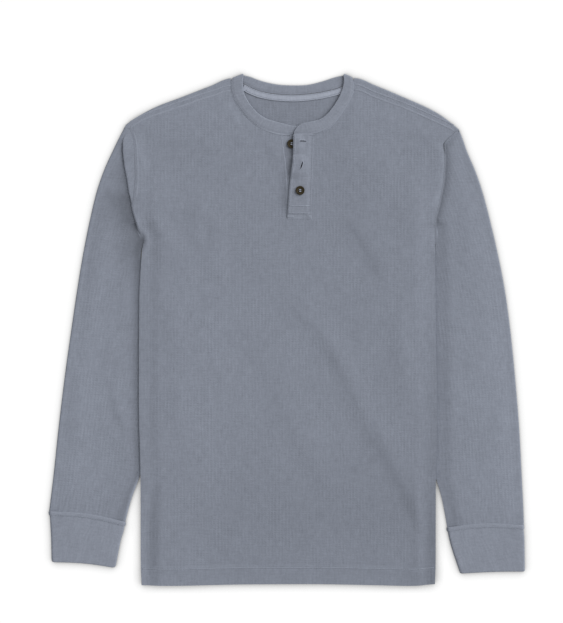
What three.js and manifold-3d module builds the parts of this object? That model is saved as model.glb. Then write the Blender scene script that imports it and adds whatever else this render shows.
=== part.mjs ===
// A long-sleeved henley shirt in waffle knit, laid flat on its back with its sleeves beside it.
// Millimetres. +X is to the right of someone looking down at it, +Y is towards the collar, +Z is up.
// The origin is on the surface the shirt lies on, under the middle of its outline.
import * as THREE from 'three';
import Module from 'manifold-3d';
import { mergeVertices } from 'three/addons/utils/BufferGeometryUtils.js';

// Cloth
const CLOTH = 1.5;          // waffle knit of the body and the sleeves
const DOUBLE = 2.4;         // two plies: neckband, cuffs, plackets and hem
const TAPE = 1.0;           // neck tape
const SEAM = 0.3;           // space between two pieces that are sewn together or lie on each other

// Body, from the tables below: 740 mm from collar point to hem and 430 mm across
const HEM_DEPTH = 25;       // turned-up hem
const LOFT = 1.6;           // air between the back and the front where the shirt lies loosest
const SHOULDER_RADIUS = 1.5; // middle of the cloth where it rolls over the shoulder
const BAND_RADIUS = 1.8;    // middle of the neckband where it rolls over at each collar point

// Sleeves
const SLEEVE_LOW = 2.55;    // middle of the upper layer where the body presses on it
const PLEAT_RADIUS = 1.0;   // roll of the pleat beside the armhole seam
const PLEAT_TUCK = 8;       // how far the pleat runs back under itself
const PRESSED_HEIGHT = 3.7; // both layers of a sleeve under the body
const CUFF_INSET = 1.2;     // the cuff is this much narrower than the sleeve it gathers

// Placket
const SLOT_BOTTOM_Y = 163;
const SLOT_TOP_Y = 282.6;
const PLACKET_BOTTOM_Y = 160.4;
const UNDER_PLACKET = 2.2;
const UNDER_Z = 3.5;        // middle of the under placket and of the neckband's lower end
const OVER_Z = 6.15;        // middle of the over placket and of the neckband's upper end
const SLIT_WIDTH = 1.4;

// Buttons
const BUTTON_RADIUS = 6.5;
const BUTTON_HEIGHT = 2.6;
const BUTTON_RIM = 1.6;
const BUTTON_DISH = 0.7;
const THREAD_HOLE_RADIUS = 0.9;
const THREAD_HOLE_OFFSET = 1.5;
const BUTTONS = [
	{ name: 'button_top', x: 7.2, y: 269.1, onTop: false },
	{ name: 'button_middle', x: 14.1, y: 237.1, onTop: false },
	{ name: 'button_bottom', x: 19.4, y: 201.4, onTop: true },
];

// Outline of the body from the hem to the shoulder point: the side, then the armhole seam
const LEFT_EDGE = [
	{ y: -368, x: -210.3 },
	{ y: -334, x: -211.5 },
	{ y: -218, x: -211.8 },
	{ y: -102, x: -214.2 },
	{ y: 43, x: -213.5 },
	{ y: 91, x: -211.3 },
	{ y: 120, x: -208.6 },
	{ y: 130, x: -206.6 },
	{ y: 146, x: -213.5 },
	{ y: 162, x: -218.6 },
	{ y: 179, x: -222.2 },
	{ y: 202, x: -220.8 },
	{ y: 224, x: -219.3 },
	{ y: 246, x: -220 },
	{ y: 268, x: -221.5 },
	{ y: 284, x: -225 },
	{ y: 294, x: -230.2 },
	{ y: 300, x: -232 },
];
const RIGHT_EDGE = [
	{ y: -368, x: 214.6 },
	{ y: -334, x: 215.7 },
	{ y: -225, x: 215.9 },
	{ y: -131, x: 217.6 },
	{ y: -5, x: 216 },
	{ y: 101, x: 215 },
	{ y: 137, x: 214.2 },
	{ y: 160, x: 215.2 },
	{ y: 170, x: 217.9 },
	{ y: 188, x: 222.2 },
	{ y: 217, x: 227.3 },
	{ y: 249, x: 228.9 },
	{ y: 268, x: 227.6 },
	{ y: 275, x: 232 },
	{ y: 286, x: 243.6 },
	{ y: 292, x: 245.6 },
	{ y: 300, x: 246.5 },
];
const HEM_LINE = [
	{ x: -212, y: -368.4 },
	{ x: -169, y: -371.2 },
	{ x: -53, y: -369.3 },
	{ x: 30, y: -368.9 },
	{ x: 135, y: -370.5 },
	{ x: 179, y: -371.2 },
	{ x: 216, y: -368.6 },
];
// Shoulder line: where the cloth rolls over, and the seam that lies forward of it
const SHOULDER_LINE = [
	{ x: -240, fold: 289, seam: 283 },
	{ x: -227.3, fold: 300.9, seam: 292.2 },
	{ x: -209, fold: 313, seam: 303.1 },
	{ x: -186, fold: 324.4, seam: 311.8 },
	{ x: -156, fold: 335.7, seam: 321.9 },
	{ x: -111, fold: 353.1, seam: 337.1 },
	{ x: -80, fold: 364.5, seam: 345.6 },
	{ x: 99, fold: 364.7, seam: 346.9 },
	{ x: 129, fold: 353.8, seam: 335.7 },
	{ x: 174, fold: 334.9, seam: 319 },
	{ x: 206, fold: 320.5, seam: 305 },
	{ x: 228, fold: 307.6, seam: 295 },
	{ x: 243, fold: 294.5, seam: 287.2 },
	{ x: 252, fold: 287, seam: 281 },
];
// Front neck seam, from the left shoulder seam round to the right one
const NECK_FRONT = [
	{ x: -81.2, y: 345.2 },
	{ x: -78.4, y: 340 },
	{ x: -69.2, y: 323.1 },
	{ x: -56.2, y: 307 },
	{ x: -39.7, y: 293.6 },
	{ x: -23.6, y: 286.4 },
	{ x: -8.3, y: 282.6 },
	{ x: 38, y: 282.6 },
	{ x: 49.1, y: 286.1 },
	{ x: 61.8, y: 292.4 },
	{ x: 72.9, y: 304.2 },
	{ x: 87.4, y: 326.2 },
	{ x: 95.5, y: 343 },
	{ x: 97.4, y: 346.6 },
];
const NECK_BACK = [
	{ x: -80, y: 361.6 },
	{ x: -63.7, y: 357.2 },
	{ x: -50.8, y: 350.5 },
	{ x: -34.7, y: 344.8 },
	{ x: -14.1, y: 341.5 },
	{ x: 8.8, y: 340.3 },
	{ x: 32.8, y: 341.9 },
	{ x: 56.9, y: 345.8 },
	{ x: 79.7, y: 352.1 },
	{ x: 99, y: 361.6 },
];

// Sleeves: outline of the outer edge, the hidden inner edge, and the pleat at the armhole seam.
// flap is how far the pleat reaches past the seam and turn is how far round it folds, in degrees.
const LEFT_SLEEVE = {
	outer: [
		{ y: 292, x: -236 },
		{ y: 275, x: -244.7 },
		{ y: 260, x: -251.9 },
		{ y: 231, x: -265 },
		{ y: 202, x: -275.1 },
		{ y: 173, x: -282.4 },
		{ y: 115, x: -294.4 },
		{ y: 57, x: -304.1 },
		{ y: -1, x: -312.6 },
		{ y: -59, x: -320.8 },
		{ y: -146, x: -331.4 },
		{ y: -204, x: -337.5 },
		{ y: -250, x: -343 },
		{ y: -268, x: -345.3 },
	],
	inner: [
		{ y: 128, x: -207.8 },
		{ y: 105, x: -211.4 },
		{ y: 80, x: -206 },
		{ y: 45, x: -189 },
		{ y: 0, x: -180 },
		{ y: -60, x: -180 },
		{ y: -120, x: -190 },
		{ y: -180, x: -204 },
		{ y: -215, x: -213.8 },
		{ y: -247, x: -225.5 },
		{ y: -284, x: -235.4 },
	],
	pleat: [
		{ y: 292, flap: 1, turn: 0 },
		{ y: 284, flap: 6, turn: 40 },
		{ y: 270, flap: 14, turn: 120 },
		{ y: 256, flap: 15.5, turn: 180 },
		{ y: 238, flap: 14.5, turn: 180 },
		{ y: 221, flap: 11.5, turn: 180 },
		{ y: 199, flap: 6.5, turn: 180 },
		{ y: 179, flap: 1.5, turn: 180 },
		{ y: 158, flap: 1, turn: 180 },
		{ y: 142, flap: 1, turn: 90 },
		{ y: 130, flap: 1, turn: 0 },
	],
	top: 292.5,
	cuffSeam: { outer: -267, inner: -282.5 },
	cuff: [
		{ outerX: -343, outerY: -282, innerX: -236.8, innerY: -293, arch: 1 },
		{ outerX: -341.9, outerY: -303, innerX: -241.2, innerY: -308, arch: 2.3 },
		{ outerX: -341.1, outerY: -337.5, innerX: -248.6, innerY: -345.8, arch: 2.5 },
	],
};
const RIGHT_SLEEVE = {
	outer: [
		{ y: 288, x: 250.6 },
		{ y: 275, x: 255.6 },
		{ y: 260, x: 260.7 },
		{ y: 231, x: 273 },
		{ y: 202, x: 283.1 },
		{ y: 173, x: 291.1 },
		{ y: 115, x: 304.9 },
		{ y: 57, x: 316.3 },
		{ y: -1, x: 324.2 },
		{ y: -59, x: 330.2 },
		{ y: -146, x: 337.3 },
		{ y: -204, x: 340.4 },
		{ y: -262, x: 343.3 },
		{ y: -289, x: 344.3 },
	],
	inner: [
		{ y: 128, x: 215.6 },
		{ y: 105, x: 215.9 },
		{ y: 80, x: 208 },
		{ y: 45, x: 191 },
		{ y: 0, x: 182 },
		{ y: -60, x: 182 },
		{ y: -120, x: 191 },
		{ y: -180, x: 205 },
		{ y: -215, x: 216 },
		{ y: -247, x: 225.1 },
		{ y: -292, x: 233.5 },
	],
	pleat: [
		{ y: 292, flap: 1, turn: 0 },
		{ y: 278, flap: 1, turn: 60 },
		{ y: 262, flap: 1, turn: 180 },
		{ y: 158, flap: 1, turn: 180 },
		{ y: 142, flap: 1, turn: 90 },
		{ y: 130, flap: 1, turn: 0 },
	],
	top: 287.5,
	cuffSeam: { outer: -287, inner: -290.5 },
	cuff: [
		{ outerX: 344.5, outerY: -300, innerX: 235.4, innerY: -303, arch: 1 },
		{ outerX: 344.9, outerY: -318, innerX: 240.4, innerY: -321, arch: 1.5 },
		{ outerX: 345.3, outerY: -351, innerX: 251.5, innerY: -354, arch: 1 },
	],
};

// Largest folds of the cloth: each is a soft trough (minus) or ridge (plus) along a line
const BODY_FOLDS = [
	{ x1: 92, y1: -115, x2: 195, y2: -288, height: -1.1, width: 11 },
	{ x1: 110, y1: 120, x2: 172, y2: -125, height: 1.6, width: 20 },
	{ x1: 12, y1: 50, x2: 115, y2: -60, height: 1.8, width: 26 },
	{ x1: -180, y1: 186, x2: -136, y2: 140, height: -1, width: 12 },
	{ x1: -98, y1: 166, x2: -110, y2: 98, height: 1.4, width: 14 },
	{ x1: -29, y1: -228, x2: -100, y2: -342, height: 1.7, width: 18 },
	{ x1: -152, y1: 10, x2: -158, y2: -140, height: 1.5, width: 16 },
	{ x1: -22, y1: 268, x2: -4, y2: 226, height: 1.1, width: 9 },
];
const LEFT_SLEEVE_FOLDS = [
	{ x1: -247, y1: -20, x2: -250, y2: -100, height: 1.8, width: 10 },
	{ x1: -250, y1: -100, x2: -234, y2: -150, height: 1.6, width: 9 },
	{ x1: -262, y1: 190, x2: -282, y2: 40, height: 1.4, width: 12 },
];
const RIGHT_SLEEVE_FOLDS = [
	{ x1: 252, y1: 210, x2: 268, y2: 60, height: 1.7, width: 12 },
	{ x1: 296, y1: 20, x2: 268, y2: -80, height: 1.6, width: 12 },
	{ x1: 318, y1: -120, x2: 280, y2: -190, height: 1.5, width: 10 },
];

// Neckband: pairs of points on the seam edge and on the free edge, and the height of the middle
const BAND_LEFT = [
	{ seamX: 31, seamY: 283.2, freeX: 31, freeY: 297.4, z: UNDER_Z },
	{ seamX: 10, seamY: 283, freeX: 10, freeY: 295.6, z: UNDER_Z },
	{ seamX: -7.3, seamY: 283, freeX: -5, freeY: 298.8, z: 3.9 },
	{ seamX: -23.4, seamY: 286.9, freeX: -18, freeY: 302.2, z: 4.5 },
	{ seamX: -39.4, seamY: 294.1, freeX: -32, freeY: 307.2, z: 4.8 },
	{ seamX: -55.8, seamY: 307.4, freeX: -44.5, freeY: 316.5, z: 4.8 },
	{ seamX: -68.8, seamY: 323.4, freeX: -55, freeY: 329.5, z: 4.8 },
	{ seamX: -77.8, seamY: 341, freeX: -62.3, freeY: 345, z: 4.8 },
	{ seamX: -79.3, seamY: 355, freeX: -63.6, freeY: 360, z: 4.8 },
];
const BAND_BACK = [
	{ seamX: -63.7, seamY: 357.8, freeX: -53.3, freeY: 366.6, z: 1.2 },
	{ seamX: -50.8, seamY: 350.9, freeX: -42, freeY: 362.2, z: 1.2 },
	{ seamX: -34.7, seamY: 345.2, freeX: -29, freeY: 358.4, z: 1.2 },
	{ seamX: -14.1, seamY: 341.9, freeX: -12, freeY: 355.2, z: 1.2 },
	{ seamX: 8.8, seamY: 340.7, freeX: 9.1, freeY: 354.1, z: 1.2 },
	{ seamX: 32.8, seamY: 342.3, freeX: 30.8, freeY: 355, z: 1.2 },
	{ seamX: 56.9, seamY: 346.2, freeX: 52, freeY: 360, z: 1.2 },
	{ seamX: 79.7, seamY: 352.6, freeX: 69, freeY: 365.6, z: 1.2 },
];
const BAND_RIGHT = [
	{ seamX: 96, seamY: 355, freeX: 82.4, freeY: 360, z: 4.8 },
	{ seamX: 94.9, seamY: 343, freeX: 79.6, freeY: 346.5, z: 4.8 },
	{ seamX: 87, seamY: 326.7, freeX: 72.2, freeY: 331, z: 4.8 },
	{ seamX: 72.5, seamY: 304.9, freeX: 60.5, freeY: 315, z: 4.9 },
	{ seamX: 61.6, seamY: 293, freeX: 51, freeY: 306.7, z: 5.1 },
	{ seamX: 49, seamY: 286.8, freeX: 41, freeY: 302.9, z: 5.5 },
	{ seamX: 37.8, seamY: 283.4, freeX: 31, freeY: 300.9, z: 6.2 },
	{ seamX: 23, seamY: 283.2, freeX: 22, freeY: 298.8, z: 6.2 },
	{ seamX: 14.6, seamY: 283.2, freeX: 15.4, freeY: 294.4, z: 6.2 },
	{ seamX: 10.2, seamY: 283.2, freeX: 10.9, freeY: 287.6, z: 6.2 },
];
const BAND_TIPS = {
	left: { seamX: -80.1, seamY: 364.7, freeX: -63.4, freeY: 371.2 },
	right: { seamX: 96.4, seamY: 365.6, freeX: 83.2, freeY: 371.2 },
};

// Left edge and right edge of the over placket, and of the slot it covers
const PLACKET_EDGES = [
	{ y: 160.4, left: 0.4, right: 36.2, slotLeft: 1.6, slotRight: 34 },
	{ y: 168, left: 0.9, right: 36.3, slotLeft: 1.4, slotRight: 34.2 },
	{ y: 201, left: 3.1, right: 37, slotLeft: 0.8, slotRight: 34.8 },
	{ y: 223, left: 5.6, right: 37.8, slotLeft: -0.6, slotRight: 35.3 },
	{ y: 245, left: 8.4, right: 38.4, slotLeft: -2.8, slotRight: 35.8 },
	{ y: 263, left: 9.3, right: 38.9, slotLeft: -5.4, slotRight: 36.3 },
	{ y: 283, left: 9.6, right: 39.4, slotLeft: -8.3, slotRight: 37 },
];

const COLOURS = {
	body: 0x8b919e,
	sleeve: 0x8d93a0,
	trim: 0x9096a3,
	tape: 0x9aa0ac,
	button: 0x3a2d1e,
};

function clamp01(value) {
	return Math.min(1, Math.max(0, value));
}

function smooth(from, to, value) {
	const t = clamp01((value - from) / (to - from));
	return t * t * (3 - 2 * t);
}

function mix(from, to, t) {
	return from + (to - from) * t;
}

// Reads a column of a table at any place along another, on a smooth line that never overshoots
function column(table, input, output) {
	const rows = [...table].sort((a, b) => a[input] - b[input]);
	const slopes = rows.slice(1).map((row, i) =>
		(row[output] - rows[i][output]) / (row[input] - rows[i][input]));
	const tangents = rows.map((row, i) => {
		const before = slopes[Math.max(i - 1, 0)];
		const after = slopes[Math.min(i, slopes.length - 1)];
		return before * after <= 0 ? 0 : 2 * before * after / (before + after);
	});
	return (at) => {
		let i = rows.findIndex((row) => row[input] > at) - 1;
		if (i === -2) i = rows.length - 2;
		i = Math.max(i, 0);
		const span = rows[i + 1][input] - rows[i][input];
		const t = clamp01((at - rows[i][input]) / span);
		const t2 = t * t;
		const t3 = t2 * t;
		return rows[i][output] * (2 * t3 - 3 * t2 + 1) + tangents[i] * span * (t3 - 2 * t2 + t)
			+ rows[i + 1][output] * (3 * t2 - 2 * t3) + tangents[i + 1] * span * (t3 - t2);
	};
}

// Height that a list of folds adds at a place: a bell across each line, faded at its two ends
function foldHeight(folds, x, y) {
	return folds.reduce((sum, fold) => {
		const dx = fold.x2 - fold.x1;
		const dy = fold.y2 - fold.y1;
		const length = Math.hypot(dx, dy);
		const along = ((x - fold.x1) * dx + (y - fold.y1) * dy) / length;
		const across = ((x - fold.x1) * dy - (y - fold.y1) * dx) / length;
		const fade = smooth(-0.15, 0.3, along / length) * smooth(1.15, 0.7, along / length);
		return sum + fold.height * fade * Math.exp(-((across / fold.width) ** 2));
	}, 0);
}

// Closed wall from a grid of middle points, each with a normal and a thickness.
// Cells that keep() leaves out are open, and every open side gets a rim.
function wall(grid, keep = () => true, ring = false) {
	const rows = grid.length;
	const columns = grid[0].length;
	const cells = ring ? columns : columns - 1;
	const positions = [];
	const triangles = [];
	const used = new Map();
	const vertex = (i, j, side) => {
		const key = `${i}.${j % columns}.${side}`;
		if (!used.has(key)) {
			const { point, normal, thickness } = grid[i][j % columns];
			const moved = point.clone().addScaledVector(normal, side * thickness / 2);
			used.set(key, positions.length / 3);
			positions.push(moved.x, moved.y, moved.z);
		}
		return used.get(key);
	};
	const quad = (a, b, c, d) => triangles.push(a, b, c, a, c, d);
	const kept = (i, j) => {
		if (i < 0 || i >= rows - 1) return false;
		if (!ring && (j < 0 || j >= cells)) return false;
		return keep(i, (j + cells) % cells);
	};
	for (let i = 0; i < rows - 1; i++) {
		for (let j = 0; j < cells; j++) {
			if (!kept(i, j)) continue;
			quad(vertex(i, j, 1), vertex(i, j + 1, 1), vertex(i + 1, j + 1, 1), vertex(i + 1, j, 1));
			quad(vertex(i, j, -1), vertex(i + 1, j, -1), vertex(i + 1, j + 1, -1), vertex(i, j + 1, -1));
			const rims = [
				{ open: !kept(i - 1, j), from: [i, j], to: [i, j + 1] },
				{ open: !kept(i, j + 1), from: [i, j + 1], to: [i + 1, j + 1] },
				{ open: !kept(i + 1, j), from: [i + 1, j + 1], to: [i + 1, j] },
				{ open: !kept(i, j - 1), from: [i + 1, j], to: [i, j] },
			];
			for (const { open, from, to } of rims) {
				if (open) quad(vertex(...to, 1), vertex(...from, 1), vertex(...from, -1), vertex(...to, -1));
			}
		}
	}
	return closedGeometry(positions, triangles);
}

// Indexed geometry with its faces turned outwards, by the sign of the volume it encloses
function closedGeometry(positions, triangles) {
	let volume = 0;
	const corner = (k) => new THREE.Vector3().fromArray(positions, triangles[k] * 3);
	for (let k = 0; k < triangles.length; k += 3) {
		volume += corner(k).dot(corner(k + 1).cross(corner(k + 2)));
	}
	if (volume < 0) triangles.reverse();
	const geometry = new THREE.BufferGeometry();
	geometry.setAttribute('position', new THREE.Float32BufferAttribute(positions, 3));
	geometry.setIndex(triangles);
	geometry.computeVertexNormals();
	return geometry;
}

function cloth(x, y, z, thickness, normal = new THREE.Vector3(0, 0, 1)) {
	return { point: new THREE.Vector3(x, y, z), normal, thickness };
}

// Steps from one value to another, both ends included
function steps(from, to, count) {
	return Array.from({ length: count + 1 }, (_, i) => mix(from, to, i / count));
}

// Layers under the body: how high the back and the front lie

const leftEdge = column(LEFT_EDGE, 'y', 'x');
const rightEdge = column(RIGHT_EDGE, 'y', 'x');
const hemLine = column(HEM_LINE, 'x', 'y');
const foldLine = column(SHOULDER_LINE, 'x', 'fold');
const shoulderSeam = column(SHOULDER_LINE, 'x', 'seam');
const neckBack = column(NECK_BACK, 'x', 'y');
const SLEEVES = [
	{ side: -1, table: LEFT_SLEEVE, edge: leftEdge, folds: LEFT_SLEEVE_FOLDS },
	{ side: 1, table: RIGHT_SLEEVE, edge: rightEdge, folds: RIGHT_SLEEVE_FOLDS },
];
for (const sleeve of SLEEVES) {
	sleeve.outer = column(sleeve.table.outer, 'y', 'x');
	sleeve.inner = column(sleeve.table.inner, 'y', 'x');
	sleeve.flap = column(sleeve.table.pleat, 'y', 'flap');
	sleeve.turn = column(sleeve.table.pleat, 'y', 'turn');
}
const SHOULDER_Z = CLOTH / 2 + 2 * SHOULDER_RADIUS;

// Rows of the body as shares of the way from the hem to the shoulder seam
const HEM_ROW = 0.037;
const UNDERARM_ROW = 0.7555;
const ARMHOLE_ROWS = steps(UNDERARM_ROW, 1, 11);
const BODY_ROWS = [0, HEM_ROW, ...steps(HEM_ROW + 0.004, UNDERARM_ROW, 17).slice(0, -1), ...ARMHOLE_ROWS];
// Columns between an armhole and the neck as shares of the shoulder seam
const SHOULDER_COLUMNS = [0, 0.083, 0.18, 0.28, 0.41, 0.62, 0.81, 1];
const NECK_LEFT = NECK_FRONT[0].x;
const NECK_RIGHT = NECK_FRONT.at(-1).x;
const HEM_LEFT_X = -212;
const HEM_RIGHT_X = 216;

function shoulderPeaks(edgeX, neckX) {
	return SHOULDER_COLUMNS.map((share) => {
		const x = mix(edgeX, neckX, share);
		return new THREE.Vector3(x, shoulderSeam(x) - SEAM / 2, 0);
	});
}

const LEFT_PEAKS = shoulderPeaks(leftEdge(292), NECK_LEFT);
const RIGHT_PEAKS = shoulderPeaks(rightEdge(286), NECK_RIGHT).reverse();
SLEEVES[0].rowY = (row) => mix(hemLine(HEM_LEFT_X), LEFT_PEAKS[0].y, row);
SLEEVES[1].rowY = (row) => mix(hemLine(HEM_RIGHT_X), RIGHT_PEAKS.at(-1).y, row);
for (const sleeve of SLEEVES) sleeve.underarm = sleeve.rowY(UNDERARM_ROW);

// Turn of the pleat in radians, its hidden run, and how far it drops the cloth
function pleatAt(sleeve, y) {
	const turn = THREE.MathUtils.degToRad(sleeve.turn(y));
	const run = PLEAT_TUCK * smooth(150, 180, sleeve.turn(y));
	const drop = 2 * PLEAT_RADIUS * (1 - Math.cos(turn)) + run * Math.sin(turn);
	return { turn, run, drop, flap: sleeve.flap(y) };
}

function sleeveLow(y) {
	return mix(SLEEVE_LOW, SHOULDER_Z, smooth(255, 288, y));
}

// Middle height of the front along an armhole seam
function armholeZ(sleeve, y) {
	return sleeveLow(y) + pleatAt(sleeve, y).drop;
}

// Rise of the back panel over the parts of the sleeves that are tucked under it
function backRise(x, y) {
	return SLEEVES.reduce((rise, sleeve) => {
		const start = smooth(sleeve.underarm, sleeve.underarm - 25, y);
		const reach = (x - sleeve.inner(y)) * sleeve.side;
		return Math.max(rise, PRESSED_HEIGHT * start * smooth(-38, -16, reach));
	}, 0);
}

function frontGap(x, y, toTop) {
	const edgeDistance = Math.min(x - leftEdge(y), rightEdge(y) - x);
	let gap = mix(SEAM, LOFT, smooth(0, 14, edgeDistance));
	gap += foldHeight(BODY_FOLDS, x, y) * smooth(6, 30, edgeDistance);
	gap = Math.max(gap, SEAM);
	const shoulder = SHOULDER_Z - CLOTH / 2 - CLOTH;
	gap = mix(gap, shoulder, toTop);
	return SLEEVES.reduce((lift, sleeve) => {
		if (y < sleeve.underarm) return lift;
		const inside = (sleeve.edge(y) - x) * sleeve.side;
		const level = armholeZ(sleeve, y) - CLOTH / 2 - CLOTH;
		return Math.max(lift, mix(gap, level, smooth(38, 12, inside)));
	}, gap);
}

// Thickness of a panel, doubled where the hem is turned up
function panelThickness(row) {
	return row <= HEM_ROW ? DOUBLE : CLOTH;
}

// Front panel

const slotLeft = column(PLACKET_EDGES, 'y', 'slotLeft');
const slotRight = column(PLACKET_EDGES, 'y', 'slotRight');
const placketLeft = column(PLACKET_EDGES, 'y', 'left');
const placketRight = column(PLACKET_EDGES, 'y', 'right');
const PLACKET_MIDDLE_X = 14.6;
const NECK_CELLS = 7;       // columns of the front between a shoulder seam and the slot
const NECK_STRIP = 10;      // last row of the back below its neck seam

// Place in plan of a point of the body: a column runs from the hem to its peak, and the columns
// are spread evenly between the side of the body and the middle line next to the placket
function bodyPlace(peak, row) {
	const centreY = mix(hemLine(0), SLOT_TOP_Y, row);
	const right = peak.x > PLACKET_MIDDLE_X;
	const middle = right ? slotRight : slotLeft;
	const edge = right ? SLEEVES[1] : SLEEVES[0];
	const corner = right ? RIGHT_PEAKS.at(-1).x : LEFT_PEAKS[0].x;
	const share = (peak.x - middle(SLOT_TOP_Y)) / (corner - middle(SLOT_TOP_Y));
	const x = mix(middle(centreY), edge.edge(edge.rowY(row)), share);
	return { x, y: mix(hemLine(x), peak.y, row) };
}

// Points along the top of the front: shoulder seam, neck seam, slot, neck seam, shoulder seam
function frontPeaks() {
	const cut = NECK_FRONT.findIndex(({ x }) => x > PLACKET_MIDDLE_X);
	const [left, right] = [NECK_FRONT.slice(0, cut), NECK_FRONT.slice(cut)].map((side) =>
		new THREE.CatmullRomCurve3(side.map(({ x, y }) => new THREE.Vector3(x, y, 0))));
	return [
		...LEFT_PEAKS.slice(0, -1),
		...left.getSpacedPoints(NECK_CELLS),
		...right.getSpacedPoints(NECK_CELLS),
		...RIGHT_PEAKS.slice(1),
	];
}

function frontPanel() {
	const peaks = frontPeaks();
	const slotStart = SHOULDER_COLUMNS.length - 1 + NECK_CELLS;
	const slotRow = (SLOT_BOTTOM_Y - hemLine(0)) / (SLOT_TOP_Y - hemLine(0));
	const rows = [...BODY_ROWS, slotRow].sort((a, b) => a - b)
		.filter((row) => row === slotRow || Math.abs(row - slotRow) > 0.006);
	const grid = rows.map((row) => peaks.map((peak) => {
		const { x, y } = bodyPlace(peak, row);
		const thickness = panelThickness(row);
		const toTop = smooth(30, 4, peak.y - y) * smooth(60, 90, Math.abs(x - PLACKET_MIDDLE_X));
		const bottom = backRise(x, y) + thickness + frontGap(x, y, toTop);
		return cloth(x, y, bottom + thickness / 2, thickness);
	}));
	const slotFirstRow = rows.indexOf(slotRow);
	return wall(grid, (i, j) => !(i >= slotFirstRow && j === slotStart));
}

// Back panel, whose shoulders roll over to the seams on the front

function backPanel() {
	const neck = NECK_BACK.map(({ x, y }) => new THREE.Vector3(x, y - NECK_STRIP, 0));
	const peaks = [...LEFT_PEAKS, ...neck, ...RIGHT_PEAKS];
	const firstNeck = LEFT_PEAKS.length;
	const lastNeck = firstNeck + neck.length - 1;
	const isNeck = (j) => j >= firstNeck && j <= lastNeck;
	const rollY = (x) => foldLine(x) - SHOULDER_RADIUS - CLOTH / 2;
	const topY = (j) => (isNeck(j) ? neckBack(peaks[j].x) - SEAM / 2 : rollY(peaks[j].x));
	const down = new THREE.Vector3(0, 0, -1);
	const grid = BODY_ROWS.map((row) => peaks.map((peak) => {
		const { x, y } = bodyPlace(peak, row);
		const thickness = panelThickness(row);
		return cloth(x, y, backRise(x, y) + thickness / 2, thickness, down);
	}));
	const centreZ = CLOTH / 2 + SHOULDER_RADIUS;
	for (const angle of steps(-90, 90, 4)) {
		const turn = THREE.MathUtils.degToRad(angle);
		const normal = new THREE.Vector3(0, Math.cos(turn), Math.sin(turn));
		grid.push(peaks.map(({ x }, j) => {
			const y = topY(j) + SHOULDER_RADIUS * Math.cos(turn);
			return cloth(x, y, centreZ + SHOULDER_RADIUS * Math.sin(turn), CLOTH, normal);
		}));
	}
	for (const part of [0.5, 1]) {
		grid.push(peaks.map(({ x }, j) =>
			cloth(x, mix(topY(j), shoulderSeam(x) + SEAM / 2, part), SHOULDER_Z, CLOTH)));
	}
	return wall(grid, (i, j) => i < BODY_ROWS.length || j < firstNeck - 1 || j > lastNeck);
}

// Sleeves: one sheet each, from the armhole seam round the outer edge to the back armhole

function sleevePath(sleeve, outerPoint, innerPoint, folds) {
	const { side } = sleeve;
	const y = innerPoint.y;
	const { turn, run, drop, flap } = pleatAt(sleeve, y);
	const width = outerPoint.distanceTo(innerPoint);
	const radius = SHOULDER_RADIUS;
	const low = sleeveLow(y);
	const high = CLOTH / 2 + 2 * radius;
	const spread = 0.7 * (1 - turn / Math.PI);
	const path = [];
	const add = (s, z, angle) => path.push({ s, z, angle });
	// Flap, first roll down, hidden run back, second roll
	add(SEAM, low + drop, 90);
	const rollSteps = steps(0, turn, 3);
	let shift = 0;
	for (const angle of rollSteps) {
		add(flap + shift + PLEAT_RADIUS * Math.sin(angle),
			low + drop - PLEAT_RADIUS * (1 - Math.cos(angle)), 90 - THREE.MathUtils.radToDeg(angle));
		shift += spread;
	}
	const runS = PLEAT_RADIUS * Math.sin(turn) + run * Math.cos(turn);
	const runZ = low + drop - PLEAT_RADIUS * (1 - Math.cos(turn)) - run * Math.sin(turn);
	for (const angle of [...rollSteps].reverse()) {
		add(flap + shift + runS + PLEAT_RADIUS * (Math.sin(turn) - Math.sin(angle)),
			runZ - PLEAT_RADIUS * (Math.cos(angle) - Math.cos(turn)), 90 - THREE.MathUtils.radToDeg(angle));
		shift += spread;
	}
	// Upper layer out to the roll of the outer edge
	const legStart = path.at(-1).s;
	const covered = Math.max(0, (sleeve.edge(y) - innerPoint.x) * side) + legStart + 4;
	const centreS = width - radius - CLOTH / 2;
	for (const part of [0.2, 0.4, 0.6, 0.8]) {
		const s = mix(legStart, centreS, part);
		const reach = Math.min(20, (centreS - covered) * 0.6);
		add(s, mix(low, high, smooth(covered, covered + reach, s)), 90);
	}
	for (const angle of steps(90, -90, 4)) {
		const rad = THREE.MathUtils.degToRad(angle);
		add(centreS + radius * Math.cos(rad), CLOTH / 2 + radius + radius * Math.sin(rad), angle);
	}
	for (const part of [0.35, 0.7]) add(mix(centreS, SEAM, part), CLOTH / 2, -90);
	add(SEAM, CLOTH / 2, -90);
	const direction = outerPoint.clone().sub(innerPoint).normalize();
	return path.map(({ s, z, angle }) => {
		const rad = THREE.MathUtils.degToRad(angle);
		const point = innerPoint.clone().addScaledVector(direction, s);
		const lift = angle === 90 && s > legStart ? foldHeight(folds, point.x, point.y) : 0;
		const fade = smooth(4, 16, s - covered) * smooth(0, 14, centreS - s);
		point.z = z + Math.max(0, lift * fade);
		const normal = direction.clone().multiplyScalar(Math.cos(rad));
		normal.z = Math.sin(rad);
		return { point, normal, thickness: CLOTH };
	});
}

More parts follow.
